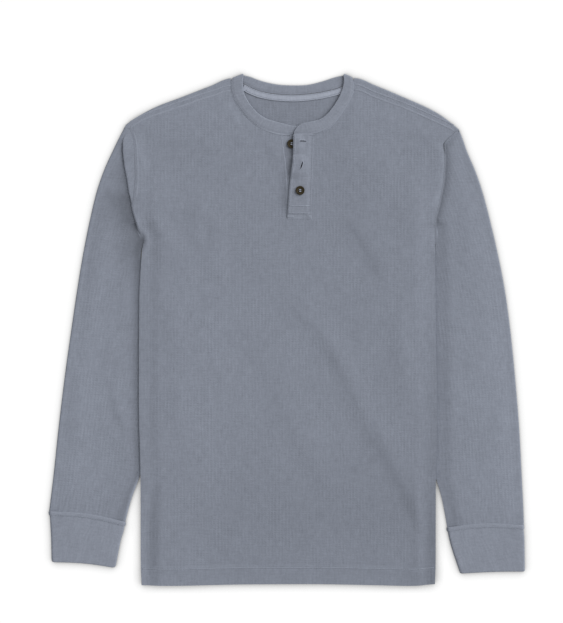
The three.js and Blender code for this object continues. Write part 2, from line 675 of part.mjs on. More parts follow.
function sleevePanel(sleeve) {
	const { top, cuffSeam } = sleeve.table;
	const armhole = [...ARMHOLE_ROWS].reverse().map(sleeve.rowY);
	const below = steps(sleeve.underarm, cuffSeam.inner, 15).slice(1);
	const grid = [...armhole, ...below].map((innerY) => {
		const row = (armhole[0] - innerY) / (armhole[0] - cuffSeam.inner);
		const outerY = mix(top, cuffSeam.outer, row);
		const inside = innerY >= sleeve.underarm ? sleeve.edge(innerY) : sleeve.inner(innerY);
		return sleevePath(sleeve, new THREE.Vector3(sleeve.outer(outerY), outerY, 0),
			new THREE.Vector3(inside, innerY, 0), sleeve.folds);
	});
	return wall(grid);
}

// Cuffs: a doubled band all round the wrist

function cuff(sleeve) {
	const radius = BAND_RADIUS;
	const { outer, inner } = sleeve.table.cuffSeam;
	const seamRow = {
		outerX: sleeve.outer(outer) - sleeve.side * CUFF_INSET,
		outerY: outer - SEAM,
		innerX: sleeve.inner(inner),
		innerY: inner - SEAM,
		arch: 0,
	};
	const grid = [seamRow, ...sleeve.table.cuff].map(({ outerX, outerY, innerX, innerY, arch }) => {
		const outerPoint = new THREE.Vector3(outerX, outerY, 0);
		const innerPoint = new THREE.Vector3(innerX, innerY, 0);
		const direction = outerPoint.clone().sub(innerPoint).normalize();
		const width = outerPoint.distanceTo(innerPoint);
		const near = radius + DOUBLE / 2;
		const far = width - near;
		const path = [
			...steps(270, 90, 4).map((angle) => ({ centre: near, angle })),
			...[0.25, 0.5, 0.75].map((part) => ({ centre: mix(near, far, part), angle: 90 })),
			...steps(90, -90, 4).map((angle) => ({ centre: far, angle })),
			...[0.75, 0.5, 0.25].map((part) => ({ centre: mix(near, far, part), angle: -90 })),
		];
		return path.map(({ centre, angle }) => {
			const rad = THREE.MathUtils.degToRad(angle);
			const s = centre + radius * Math.cos(rad);
			const point = innerPoint.clone().addScaledVector(direction, s);
			point.y += arch * Math.sin(Math.PI * clamp01(s / width));
			point.z = DOUBLE / 2 + radius + radius * Math.sin(rad);
			const normal = direction.clone().multiplyScalar(Math.cos(rad));
			normal.z = Math.sin(rad);
			return { point, normal, thickness: DOUBLE };
		});
	});
	return wall(grid, () => true, true);
}

// Neckband: a ribbon that rolls over the shoulder line at each collar point

function bandRow({ seamX, seamY, freeX, freeY }, z, normal, inset = SEAM) {
	const seam = new THREE.Vector3(seamX, seamY, z);
	const free = new THREE.Vector3(freeX, freeY, z);
	const start = inset / seam.distanceTo(free);
	return [start, 0.5, 1].map((part) => ({
		point: seam.clone().lerp(free, part),
		normal,
		thickness: DOUBLE,
	}));
}

function bandRoll(tip, frontZ, fromFront) {
	const along = new THREE.Vector3(tip.freeX - tip.seamX, tip.freeY - tip.seamY, 0).normalize();
	const out = new THREE.Vector3(-along.y, along.x, 0);
	if (out.y < 0) out.negate();
	const inset = BAND_RADIUS + DOUBLE / 2;
	const angles = fromFront ? steps(90, -90, 4) : steps(-90, 90, 4);
	return angles.map((angle) => {
		const rad = THREE.MathUtils.degToRad(angle);
		const reach = BAND_RADIUS * Math.cos(rad) - inset;
		const normal = out.clone().multiplyScalar(Math.cos(rad));
		normal.z = Math.sin(rad);
		return bandRow({
			seamX: tip.seamX + out.x * reach,
			seamY: tip.seamY + out.y * reach,
			freeX: tip.freeX + out.x * reach,
			freeY: tip.freeY + out.y * reach,
		}, frontZ - BAND_RADIUS + BAND_RADIUS * Math.sin(rad), normal);
	});
}

function neckband() {
	const up = new THREE.Vector3(0, 0, 1);
	const down = new THREE.Vector3(0, 0, -1);
	const frontZ = DOUBLE / 2 + 2 * BAND_RADIUS;
	return wall([
		...BAND_LEFT.map((row) => bandRow(row, row.z, up)),
		...bandRoll(BAND_TIPS.left, frontZ, true),
		...BAND_BACK.map((row) => bandRow(row, row.z, down)),
		...bandRoll(BAND_TIPS.right, frontZ, false),
		...BAND_RIGHT.map((row) => bandRow(row, row.z, up)),
	]);
}

// Neck tape: covers the back neck seam on the inside of the back

function neckTape() {
	const width = 9;
	const overlap = 0.6;
	const z = CLOTH + SEAM + TAPE / 2;
	const grid = steps(-59, 75, 14).map((x) => {
		const top = neckBack(x) - overlap;
		const slope = (neckBack(x + 1) - neckBack(x - 1)) / 2;
		const across = new THREE.Vector3(slope, -1, 0).normalize();
		return [0, 1].map((part) => cloth(x + across.x * width * part, top + across.y * width * part, z, TAPE));
	});
	return wall(grid);
}

// Plackets

// Lift of the over placket where an unfastened button lies beneath it
function buttonLift(x, y) {
	return BUTTONS.filter(({ onTop }) => !onTop).reduce((lift, button) => {
		const distance = Math.hypot(x - button.x, y - button.y);
		return Math.max(lift, (BUTTON_HEIGHT + SEAM) * smooth(22, 8.5, distance));
	}, 0);
}

function overPlacket() {
	const slitHalf = SLIT_WIDTH / 2;
	const topSlitY = 272.7;
	const middleSlit = { from: 232.2, to: 243.2 };
	const bottomSlit = { from: 196.5, to: 206 };
	const fromLeft = [0, 4, 8.3, 13.8 - slitHalf, 13.8 + slitHalf, 19.3, 25];
	const across = [
		PLACKET_BOTTOM_Y, 168, 179, 188, bottomSlit.from, 201, bottomSlit.to, 215, 224,
		middleSlit.from, 237.7, middleSlit.to, 252, 262,
		topSlitY - slitHalf, topSlitY + slitHalf, 278, SLOT_TOP_Y,
	];
	const grid = across.map((y) => [...fromLeft, placketRight(y) - placketLeft(y)].map((s) => {
		const x = placketLeft(y) + s;
		return cloth(x, y, OVER_Z + buttonLift(x, y), DOUBLE);
	}));
	const row = (y) => across.indexOf(y);
	const slits = [
		{ rows: [row(topSlitY - slitHalf), row(topSlitY + slitHalf)], columns: [2, 5] },
		{ rows: [row(middleSlit.from), row(middleSlit.to)], columns: [3, 4] },
		{ rows: [row(bottomSlit.from), row(bottomSlit.to)], columns: [3, 4] },
	];
	const inSlit = (i, j) => slits.some(({ rows, columns }) =>
		i >= rows[0] && i < rows[1] && j >= columns[0] && j < columns[1]);
	return wall(grid, (i, j) => !inSlit(i, j));
}

function underPlacket() {
	const grid = steps(SLOT_BOTTOM_Y + SEAM, SLOT_TOP_Y, 8).map((y) => {
		const left = slotLeft(y) + SEAM;
		const right = slotRight(y) - SEAM;
		return [left, (left + right) / 2, right].map((x) => cloth(x, y, UNDER_Z, UNDER_PLACKET));
	});
	return wall(grid);
}

// Buttons: a dished disc with four thread holes

const wasm = await Module();
wasm.setup();

function asSolid(geometry) {
	const bare = geometry.clone();
	bare.deleteAttribute('normal');
	bare.deleteAttribute('uv');
	const merged = mergeVertices(bare, 1e-4);
	return new wasm.Manifold(new wasm.Mesh({
		numProp: 3,
		vertProperties: merged.attributes.position.array,
		triVerts: Uint32Array.from(merged.index.array),
	}));
}

function button() {
	const edge = 0.5;
	const outline = [
		[0, 0],
		[BUTTON_RADIUS - edge, 0],
		[BUTTON_RADIUS, edge],
		[BUTTON_RADIUS, BUTTON_HEIGHT - edge],
		[BUTTON_RADIUS - edge, BUTTON_HEIGHT],
		[BUTTON_RADIUS - BUTTON_RIM, BUTTON_HEIGHT],
		[BUTTON_RADIUS - BUTTON_RIM - edge, BUTTON_HEIGHT - BUTTON_DISH],
		[0, BUTTON_HEIGHT - BUTTON_DISH],
	].map(([radius, height]) => new THREE.Vector2(radius, height));
	let disc = asSolid(new THREE.LatheGeometry(outline, 20).rotateX(Math.PI / 2));
	for (const [sx, sy] of [[1, 1], [-1, 1], [-1, -1], [1, -1]]) {
		const hole = new THREE.CylinderGeometry(THREAD_HOLE_RADIUS, THREAD_HOLE_RADIUS, BUTTON_HEIGHT * 3, 6);
		hole.rotateX(Math.PI / 2).translate(sx * THREAD_HOLE_OFFSET, sy * THREAD_HOLE_OFFSET, 0);
		disc = disc.subtract(asSolid(hole));
	}
	const { vertProperties, triVerts } = disc.getMesh();
	return closedGeometry(Array.from(vertProperties), Array.from(triVerts));
}

// The shirt

const shirt = new THREE.Group();

function addPiece(name, geometry, colour, roughness = 0.95) {
	const material = new THREE.MeshStandardMaterial({ color: colour, roughness, metalness: 0 });
	const mesh = new THREE.Mesh(geometry, material);
	mesh.name = name;
	shirt.add(mesh);
	return mesh;
}

addPiece('front', frontPanel(), COLOURS.body);
addPiece('back', backPanel(), COLOURS.body);
addPiece('sleeve_left', sleevePanel(SLEEVES[0]), COLOURS.sleeve);
addPiece('sleeve_right', sleevePanel(SLEEVES[1]), COLOURS.sleeve);
addPiece('cuff_left', cuff(SLEEVES[0]), COLOURS.trim);
addPiece('cuff_right', cuff(SLEEVES[1]), COLOURS.trim);
addPiece('neckband', neckband(), COLOURS.trim);
addPiece('neck_tape', neckTape(), COLOURS.tape);
addPiece('placket_over', overPlacket(), COLOURS.trim);
addPiece('placket_under', underPlacket(), COLOURS.trim);

const UNDER_TOP = UNDER_Z + UNDER_PLACKET / 2 + SEAM;
const OVER_TOP = OVER_Z + DOUBLE / 2 + SEAM;
for (const { name, x, y, onTop } of BUTTONS) {
	const mesh = addPiece(name, button(), COLOURS.button, 0.45);
	mesh.position.set(x, y, onTop ? OVER_TOP : UNDER_TOP);
}

export default shirt;
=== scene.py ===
# %% [markdown]
# # A henley shirt, laid flat
# A long-sleeved waffle-knit henley lies on its back on a pale floor and is seen from straight above.
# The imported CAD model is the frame: it fixes every size and place. Each of its plain solids is replaced
# here by a finer shell of the same form, with the creases, the sewing and the knit that cloth has.

# %% Load the frame
import math

import bmesh
import bpy
import numpy as np
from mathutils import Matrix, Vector


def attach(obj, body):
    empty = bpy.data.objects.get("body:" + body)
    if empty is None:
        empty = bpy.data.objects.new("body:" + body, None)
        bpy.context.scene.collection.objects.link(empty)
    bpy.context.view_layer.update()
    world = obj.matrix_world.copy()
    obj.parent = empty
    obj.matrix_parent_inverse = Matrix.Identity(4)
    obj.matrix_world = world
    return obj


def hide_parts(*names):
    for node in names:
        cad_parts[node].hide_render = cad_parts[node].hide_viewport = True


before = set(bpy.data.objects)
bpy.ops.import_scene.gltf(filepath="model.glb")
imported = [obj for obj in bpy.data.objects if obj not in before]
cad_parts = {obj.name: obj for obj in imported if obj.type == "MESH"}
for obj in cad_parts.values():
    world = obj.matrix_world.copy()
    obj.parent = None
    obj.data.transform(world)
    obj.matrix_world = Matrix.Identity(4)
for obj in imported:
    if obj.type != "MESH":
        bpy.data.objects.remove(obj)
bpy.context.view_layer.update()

MM = 0.001
print("nodes:", ", ".join(sorted(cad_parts)))

# %% [markdown]
# ## Reading a table
# A garment's outline is drawn from a few measured places. Each table below has named columns, and
# `column` reads one column at any place along another on a smooth line. It takes whole arrays, so one
# call shapes thousands of points.

# %% Tables and smooth lines


def table(names, *rows):
    """One array for each of the named columns."""
    return dict(zip(names.split(), np.array(rows, float).T))


def smooth(start, end, value):
    """0 before start, 1 after end, and 3t^2 - 2t^3 between them."""
    t = np.clip((value - start) / (end - start), 0, 1)
    return t * t * (3 - 2 * t)


def mix(start, end, t):
    return start + (end - start) * t


def column(data, given, wanted):
    """Cubic pieces between the rows. The slope at a row is the harmonic mean of the slopes on its two
    sides, or 0 where they turn, so the line never overshoots."""
    order = np.argsort(data[given])
    at_row, value = data[given][order], data[wanted][order]
    slope = np.diff(value) / np.diff(at_row)
    before, after = np.append(slope[0], slope), np.append(slope, slope[-1])
    product = before * after
    tangent = np.where(product > 0, 2 * product / np.where(product > 0, before + after, 1), 0)

    def read(place):
        i = np.clip(np.searchsorted(at_row, place, side="right") - 1, 0, len(at_row) - 2)
        span = at_row[i + 1] - at_row[i]
        t = np.clip((place - at_row[i]) / span, 0, 1)
        rise = 3 * t**2 - 2 * t**3
        return (value[i] * (1 - rise) + value[i + 1] * rise
                + tangent[i] * span * (t**3 - 2 * t**2 + t) + tangent[i + 1] * span * (t**3 - t**2))

    return read


def through(points, count):
    """A smooth line of count points, evenly spaced, through a few given ones (Catmull-Rom pieces)."""
    points = np.asarray(points, float)
    padded = np.vstack([2 * points[0] - points[1], points, 2 * points[-1] - points[-2]])
    t = np.linspace(0, len(points) - 1, 40 * len(points))
    i = np.minimum(t.astype(int), len(points) - 2)
    t = (t - i)[:, None]
    a, b, c, d = padded[i], padded[i + 1], padded[i + 2], padded[i + 3]
    dense = 0.5 * (2 * b + (c - a) * t + (2 * a - 5 * b + 4 * c - d) * t**2 + (3 * b - a - 3 * c + d) * t**3)
    length = np.append(0, np.cumsum(np.linalg.norm(np.diff(dense, axis=0), axis=1)))
    even = np.linspace(0, length[-1], count)
    return np.column_stack([np.interp(even, length, dense[:, k]) for k in range(points.shape[1])])


# %% [markdown]
# ## Sizes of the garment
# These are the sizes of the frame, in millimetres: the outline of the body, the seam lines, the sleeves
# and the band. The origin is on the floor under the middle of the shirt, and +Y points to the collar.

# %% Cloth and outline of the body
CLOTH = 1.5
DOUBLE = 2.4
SEAM = 0.3
LOFT = 1.6
SHOULDER_RADIUS = 1.5
SHOULDER_Z = CLOTH / 2 + 2 * SHOULDER_RADIUS
HEM_DEPTH = 25

LEFT_EDGE = table(
    "y x", (-368, -210.3), (-334, -211.5), (-218, -211.8), (-102, -214.2), (43, -213.5), (91, -211.3),
    (120, -208.6), (130, -206.6), (146, -213.5), (162, -218.6), (179, -222.2), (202, -220.8),
    (224, -219.3), (246, -220), (268, -221.5), (284, -225), (294, -230.2), (300, -232))
RIGHT_EDGE = table(
    "y x", (-368, 214.6), (-334, 215.7), (-225, 215.9), (-131, 217.6), (-5, 216), (101, 215),
    (137, 214.2), (160, 215.2), (170, 217.9), (188, 222.2), (217, 227.3), (249, 228.9), (268, 227.6),
    (275, 232), (286, 243.6), (292, 245.6), (300, 246.5))
HEM_LINE = table(
    "x y", (-212, -370.4), (-169, -371.2), (-53, -369.3), (30, -368.9), (135, -370.5), (179, -371.2),
    (216, -368.6))
SHOULDER_LINE = table(
    "x fold seam", (-240, 289, 283), (-227.3, 300.9, 292.2), (-209, 313, 303.1), (-186, 324.4, 311.8),
    (-156, 335.7, 321.9), (-111, 353.1, 337.1), (-80, 364.5, 345.6), (99, 364.7, 346.9),
    (129, 353.8, 335.7), (174, 334.9, 319), (206, 320.5, 305), (228, 307.6, 295), (243, 294.5, 287.2),
    (252, 287, 281))
NECK_FRONT = table(
    "x y", (-81.2, 345.2), (-78.4, 340), (-69.2, 323.1), (-56.2, 307), (-39.7, 293.6), (-23.6, 286.4),
    (-8.3, 282.6), (38, 282.6), (49.1, 286.1), (61.8, 292.4), (72.9, 304.2), (87.4, 326.2),
    (95.5, 343), (97.4, 346.6))
NECK_BACK = table(
    "x y", (-80, 361.6), (-63.7, 357.2), (-50.8, 350.5), (-34.7, 344.8), (-14.1, 341.5), (8.8, 340.3),
    (32.8, 341.9), (56.9, 345.8), (79.7, 352.1), (99, 361.6))
PLACKET_EDGES = table(
    "y left right slot_left slot_right", (160.4, 0.4, 36.2, 1.6, 34), (168, 0.9, 36.3, 1.4, 34.2),
    (201, 3.1, 37, 0.8, 34.8), (223, 5.6, 37.8, -0.6, 35.3), (245, 8.4, 38.4, -2.8, 35.8),
    (263, 9.3, 38.9, -5.4, 36.3), (283, 9.6, 39.4, -8.3, 37))

left_edge = column(LEFT_EDGE, "y", "x")
right_edge = column(RIGHT_EDGE, "y", "x")
hem_line = column(HEM_LINE, "x", "y")
fold_line = column(SHOULDER_LINE, "x", "fold")
shoulder_seam = column(SHOULDER_LINE, "x", "seam")
neck_front = column(NECK_FRONT, "x", "y")
neck_back = column(NECK_BACK, "x", "y")
placket_left, placket_right, slot_left, slot_right = (
    column(PLACKET_EDGES, "y", name) for name in ("left", "right", "slot_left", "slot_right"))

# %% Sleeves, their pleats and their cuffs
PLEAT_RADIUS = 1.0
PLEAT_TUCK = 8
SLEEVE_LOW = 2.55
PRESSED_HEIGHT = 3.7
CUFF_INSET = 1.2
UNDERARM_ROW = 0.7555

LEFT_SLEEVE = {
    "side": -1,
    "edge": left_edge,
    "top": 292.5,
    "armhole_x": -228.9,
    "hem_x": -212,
    "cuff_seam": {"outer": -267, "inner": -282.5},
    "outer": table(
        "y x", (292, -236), (275, -244.7), (260, -251.9), (231, -265), (202, -275.1), (173, -282.4),
        (115, -294.4), (57, -304.1), (-1, -312.6), (-59, -320.8), (-146, -331.4), (-204, -337.5),
        (-250, -343), (-268, -345.3)),
    "inner": table(
        "y x", (128, -207.8), (105, -211.4), (80, -206), (45, -189), (0, -180), (-60, -180),
        (-120, -190), (-180, -204), (-215, -213.8), (-247, -225.5), (-284, -235.4)),
    "pleat": table(
        "y flap turn", (292, 1, 0), (284, 6, 40), (270, 14, 120), (256, 15.5, 180), (238, 14.5, 180),
        (221, 11.5, 180), (199, 6.5, 180), (179, 1.5, 180), (158, 1, 180), (142, 1, 90), (130, 1, 0)),
    "cuff": table(
        "outer_x outer_y inner_x inner_y arch", (-343, -282, -236.8, -293, 1),
        (-341.9, -303, -241.2, -308, 2.3), (-341.1, -337.5, -248.6, -345.8, 2.5)),
}
RIGHT_SLEEVE = {
    "side": 1,
    "edge": right_edge,
    "top": 287.5,
    "armhole_x": 243.6,
    "hem_x": 216,
    "cuff_seam": {"outer": -287, "inner": -290.5},
    "outer": table(
        "y x", (288, 250.6), (275, 255.6), (260, 260.7), (231, 273), (202, 283.1), (173, 291.1),
        (115, 304.9), (57, 316.3), (-1, 324.2), (-59, 330.2), (-146, 337.3), (-204, 340.4),
        (-262, 343.3), (-289, 344.3)),
    "inner": table(
        "y x", (128, 215.6), (105, 214.4), (80, 208), (45, 191), (0, 182), (-60, 182), (-120, 191),
        (-180, 205), (-215, 216), (-247, 225.1), (-292, 233.5)),
    "pleat": table(
        "y flap turn", (292, 1, 0), (278, 1, 60), (262, 1, 180), (158, 1, 180), (142, 1, 90),
        (130, 1, 0)),
    "cuff": table(
        "outer_x outer_y inner_x inner_y arch", (344.5, -300, 235.4, -303, 1),
        (344.9, -318, 240.4, -321, 1.5), (345.3, -351, 251.5, -354, 1)),
}
SLEEVES = [LEFT_SLEEVE, RIGHT_SLEEVE]
for sleeve in SLEEVES:
    sleeve["outer_line"] = column(sleeve["outer"], "y", "x")
    sleeve["inner_line"] = column(sleeve["inner"], "y", "x")
    sleeve["flap"] = column(sleeve["pleat"], "y", "flap")
    sleeve["turn"] = column(sleeve["pleat"], "y", "turn")
    sleeve["seam_top"] = shoulder_seam(sleeve["armhole_x"]) - SEAM / 2
    sleeve["underarm"] = mix(hem_line(sleeve["hem_x"]), sleeve["seam_top"], UNDERARM_ROW)
print("underarms at y =", [round(float(sleeve["underarm"]), 1) for sleeve in SLEEVES])

# %% [markdown]
# ## Creases
# A garment that has just been laid down keeps soft creases: long diagonals from the chest to the hem, short ones beside
# the placket and the armholes. A cloth simulation would invent its own. These are known from the photograph, so each is
# placed as a smooth line with its own height and widths, and the panel rises or sinks along it in a bell shape.

# %% Creases of the panels


def crease_height(creases, x, y):
    """Sum of bells exp(-(d / w)^2) across smooth lines. d is the distance to the line and w the width on
    that side of it, and each bell fades to nothing at both ends of its line."""
    total = np.zeros(np.shape(x))
    for height, left_width, right_width, points in creases:
        path = through(points, 22)
        nearest = np.full(np.shape(x), np.inf)
        side = np.zeros(np.shape(x))
        along = np.zeros(np.shape(x))
        for k, (start, end) in enumerate(zip(path[:-1], path[1:])):
            dx, dy = end - start
            t = np.clip(((x - start[0]) * dx + (y - start[1]) * dy) / (dx * dx + dy * dy), 0, 1)
            off_x, off_y = x - start[0] - t * dx, y - start[1] - t * dy
            distance = np.hypot(off_x, off_y)
            closer = distance < nearest
            nearest = np.where(closer, distance, nearest)
            side = np.where(closer, dx * off_y - dy * off_x, side)
            along = np.where(closer, (k + t) / (len(path) - 1), along)
        width = np.where(side > 0, left_width, right_width)
        fade = smooth(0, 0.3, along) * smooth(1, 0.7, along)
        total += height * fade * np.exp(-((nearest / width) ** 2))
    return total


# Each crease is (height, width on the left of its line, width on the right, points of the line)
FRONT_CREASES = [
    (2.7, 44, 13, [(120, -112), (136, -143), (159, -196), (198, -273), (216, -312)]),
    (1.45, 18, 14, [(40, 22), (90, -68), (125, -150), (156, -214)]),
    (0.9, 16, 12, [(2, 60), (30, 20), (60, -17), (96, -80)]),
    (1.5, 34, 10, [(88, 176), (105, 145), (133, 98), (150, 60)]),
    (1.5, 16, 16, [(163, 50), (165, -5), (171, -54), (178, -135)]),
    (1.1, 20, 10, [(-150, 186), (-130, 150), (-139, 112)]),
    (1.1, 22, 10, [(-98, 178), (-104, 120), (-124, 72)]),
    (1.0, 16, 8, [(-30, 282), (-14, 250), (-3, 218)]),
    (0.9, 20, 12, [(-152, -60), (-157, -127), (-148, -176)]),
    (1.0, 10, 24, [(-40, -240), (-70, -290), (-95, -336)]),
    (1.2, 14, 30, [(-215, 168), (-178, 140), (-150, 96)]),
    (1.0, 24, 24, [(60, 235), (110, 250), (170, 232)]),
    (0.9, 22, 22, [(-190, 262), (-130, 272), (-80, 262)]),
    (1.0, 40, 16, [(-60, 30), (-20, -60), (30, -170), (70, -250)]),
    (1.0, 28, 12, [(-150, 198), (-118, 172), (-88, 138)]),
    (0.9, 12, 24, [(148, 176), (172, 190), (200, 203)]),
    (0.8, 22, 10, [(-176, 60), (-168, 10), (-172, -40)]),
]
BACK_CREASES = [
    (1.0, 18, 18, [(150, 60), (96, -20), (60, -120)]),
    (0.9, 16, 16, [(-170, 40), (-140, -60), (-150, -170)]),
    (0.8, 20, 20, [(-60, 220), (-20, 120), (10, 20)]),
]
LEFT_SLEEVE_CREASES = [
    (1.6, 11, 9, [(-250, 10), (-255, -60), (-250, -112), (-233, -160)]),
    (-1.3, 8, 8, [(-249, -20), (-256, -92), (-246, -135), (-228, -165)]),
    (0.9, 14, 14, [(-262, 190), (-272, 110), (-282, 40)]),
    (0.8, 14, 12, [(-300, -40), (-306, -110), (-300, -180)]),
]
RIGHT_SLEEVE_CREASES = [
    (1.0, 14, 14, [(252, 215), (262, 140), (268, 60)]),
    (0.9, 14, 14, [(296, 20), (284, -30), (268, -80)]),
    (0.9, 12, 12, [(318, -120), (300, -158), (280, -190)]),
]
LEFT_SLEEVE["creases"] = LEFT_SLEEVE_CREASES
RIGHT_SLEEVE["creases"] = RIGHT_SLEEVE_CREASES


def undulation(x, y, seed=0):
    """Low waves of three sizes that cross each other, about 1 high in all."""
    return (0.45 * np.sin(x / 37 + 1.3 * np.sin(y / 91 + seed)) * np.cos(y / 58 + seed)
            + 0.3 * np.sin(x / 19 - y / 71 + 2 * seed) * np.sin(y / 43)
            + 0.25 * np.sin(x / 88 + y / 31 + seed))


# %% [markdown]
# ## Layers
# The sleeves are tucked under the body, so the body has to rise over them. The same rules as in the
# frame say how high each layer lies: the back rests on the floor and climbs over the sleeves, and the
# front lies on the back with a little air between them.

# %% Heights of the back and the front


def pleat_at(sleeve, y):
    """Turn of the pleat in radians, its hidden run, and how far it drops the cloth."""
    degrees = sleeve["turn"](y)
    turn = np.radians(degrees)
    run = PLEAT_TUCK * smooth(170, 180, degrees)
    drop = 2 * PLEAT_RADIUS * (1 - np.cos(turn)) + run * np.sin(turn)
    return turn, run, drop


def sleeve_low(y):
    return mix(SLEEVE_LOW, SHOULDER_Z, smooth(255, 288, y))


def back_rise(x, y):
    """Rise of the back over the parts of the sleeves that are tucked under it."""
    rise = np.zeros(np.shape(x))
    for sleeve in SLEEVES:
        start = smooth(sleeve["underarm"], sleeve["underarm"] - 25, y)
        reach = (x - sleeve["inner_line"](y)) * sleeve["side"]
        rise = np.maximum(rise, PRESSED_HEIGHT * start * smooth(-38, -16, reach))
    return rise


def top_line(x):
    """Upper end of the front: the shoulder seams, and the neck seam between them."""
    inside = (x > NECK_FRONT["x"][0]) & (x < NECK_FRONT["x"][-1])
    return np.where(inside, neck_front(x), shoulder_seam(x) - SEAM / 2)


PLACKET_MIDDLE_X = 14.6
BODY_PUFF = 1.4      # extra loft where the front lies loose
EDGE_SLOPE = 30      # how far the front slopes down at its sides
SLEEVE_PUFF = 1.3    # and where the upper layer of a sleeve does


def placket_distance(x, y):
    """How far a place is from the placket and the neck, which hold the front down."""
    beside = np.maximum(np.abs(x - 18) - 20, 0)
    return np.minimum(np.hypot(beside, np.maximum(150 - y, 0)), np.maximum(top_line(x) - y, 0) + beside / 4)


def edge_level(x, y):
    """Underside of the front at its sides: on the back below the underarm, level with the sleeve above."""
    level = back_rise(x, y) + CLOTH + SEAM
    for sleeve in SLEEVES:
        near = (sleeve["edge"](y) - x) * sleeve["side"] < 60
        drop = np.where(y < 200, pleat_at(sleeve, y)[2], 4 * PLEAT_RADIUS * smooth(288, 252, y))
        level = np.where(near & (y > sleeve["underarm"]), sleeve_low(y) + drop - CLOTH / 2, level)
    return level


def front_bottom(x, y):
    """Underside of the front: held at its sides, its shoulders, the neck and the placket, and loose and
    creased between them, in one broad swell over the tucked sleeves."""
    edge_distance = np.minimum(x - left_edge(y), right_edge(y) - x)
    free = smooth(4, 60, placket_distance(x, y)) * smooth(0, 40, y - hem_line(x))
    swell = np.zeros(np.shape(x))
    for sleeve in SLEEVES:
        reach = (x - sleeve["inner_line"](y)) * sleeve["side"]
        swell = np.maximum(swell, PRESSED_HEIGHT * smooth(-150, -16, reach) * smooth(262, 170, y))
    loose = crease_height(FRONT_CREASES, x, y) + 0.5 * undulation(x, y) + BODY_PUFF * free
    inner = CLOTH + LOFT + swell + loose * smooth(3, 30, edge_distance)
    shoulder = SHOULDER_Z - CLOTH / 2
    to_top = smooth(30, 4, top_line(x) - y) * smooth(60, 90, np.abs(x - PLACKET_MIDDLE_X))
    inner = mix(inner, shoulder, to_top)
    level = edge_level(x, y)
    underarm = 5.4 * smooth(92, 112, y) * smooth(196, 172, y)
    level = mix(level, np.maximum(level, underarm), smooth(0, 4, edge_distance))
    bottom = mix(level, inner, smooth(0, EDGE_SLOPE, edge_distance))
    return np.maximum(bottom, back_rise(x, y) + CLOTH + SEAM)


def panel_thickness(x, y):
    """Doubled where the hem is turned up."""
    return mix(CLOTH, DOUBLE, smooth(HEM_DEPTH + 1.2, HEM_DEPTH - 0.8, y - hem_line(x)))


def front_top(x, y):
    """Height of the front's upper face, where sewing lies."""
    thickness = panel_thickness(x, y)
    return front_bottom(x, y) + 2 * thickness - CLOTH


# %% [markdown]
# ## One way to make every shell
# Each panel is a grid of middle points, each with a normal and a thickness. A closed shell is the grid
# moved out on one side and in on the other, with a rim round every open side. A Solidify modifier could
# do this, but here each point has its own thickness, and some cells are left open as slots and slits.
# The cloth map holds each point's place along the cloth in metres, so that the knit follows the cloth.

# %% Shell builder


def wall_corners(kept, ring):
    """Corners of every face as (side, row, column), four to a face: both faces of each kept cell, and a
    rim wherever the next cell isn't kept."""
    rows, cells = kept.shape
    around = np.zeros((rows + 2, cells + 2), bool)
    around[1:-1, 1:-1] = kept
    if ring:
        around[1:-1, 0] = kept[:, -1]
        around[1:-1, -1] = kept[:, 0]
    i, j = np.nonzero(kept)
    outer = [(0, i, j), (0, i, j + 1), (0, i + 1, j + 1), (0, i + 1, j)]
    inner = [(1, i, j), (1, i + 1, j), (1, i + 1, j + 1), (1, i, j + 1)]
    parts = [outer, inner]
    for next_i, next_j, start, end in (
            (-1, 0, (0, 0), (0, 1)), (0, 1, (0, 1), (1, 1)), (1, 0, (1, 1), (1, 0)), (0, -1, (1, 0), (0, 0))):
        open_side = kept & ~around[1 + next_i:1 + next_i + rows, 1 + next_j:1 + next_j + cells]
        i, j = np.nonzero(open_side)
        first, last = (i + start[0], j + start[1]), (i + end[0], j + end[1])
        parts.append([(0, *last), (0, *first), (1, *first), (1, *last)])
    corners = [np.stack([np.stack([np.broadcast_to(v, np.shape(c[1])) for v in c], -1) for c in part], 1)
               for part in parts]
    return np.concatenate(corners)


def new_object(name, vertices, faces, maps, shade, sharp_angle=50):
    """Mesh object from arrays in millimetres. maps are cloth coordinates for each corner, and shade says how much
    darker (or lighter, below 0) the cloth is painted at each vertex: painted shade and painted light, and the paler
    thread and seams."""
    used, index = np.unique(faces, return_inverse=True)
    faces = index.reshape(faces.shape)
    vertices = vertices[used] * MM
    mesh = bpy.data.meshes.new(name)
    mesh.vertices.add(len(vertices))
    mesh.vertices.foreach_set("co", vertices.astype(np.float32).ravel())
    mesh.loops.add(faces.size)
    mesh.loops.foreach_set("vertex_index", faces.astype(np.int32).ravel())
    mesh.polygons.add(len(faces))
    mesh.polygons.foreach_set("loop_start", np.arange(0, faces.size, 4, dtype=np.int32))
    mesh.update(calc_edges=True)
    layer = mesh.uv_layers.new(name="cloth")
    layer.uv.foreach_set("vector", (maps * MM).astype(np.float32).ravel())
    tone = mesh.attributes.new("shade", "FLOAT", "POINT")
    tone.data.foreach_set("value", shade[used].astype(np.float32))
    mesh.shade_smooth()
    mesh.set_sharp_from_angle(angle=math.radians(sharp_angle))
    piece = bpy.data.objects.new(name, mesh)
    bpy.context.scene.collection.objects.link(piece)
    return piece


def outward(vertices, faces, maps, shade):
    """Turns the faces outwards, by the sign of the volume that they enclose."""
    a, b, c, d = (vertices[faces[:, k]] for k in range(4))
    volume = np.sum(a * np.cross(b, c)) + np.sum(a * np.cross(c, d))
    if volume < 0:
        faces, maps = faces[:, ::-1], maps[:, ::-1]
    return vertices, faces, maps, shade


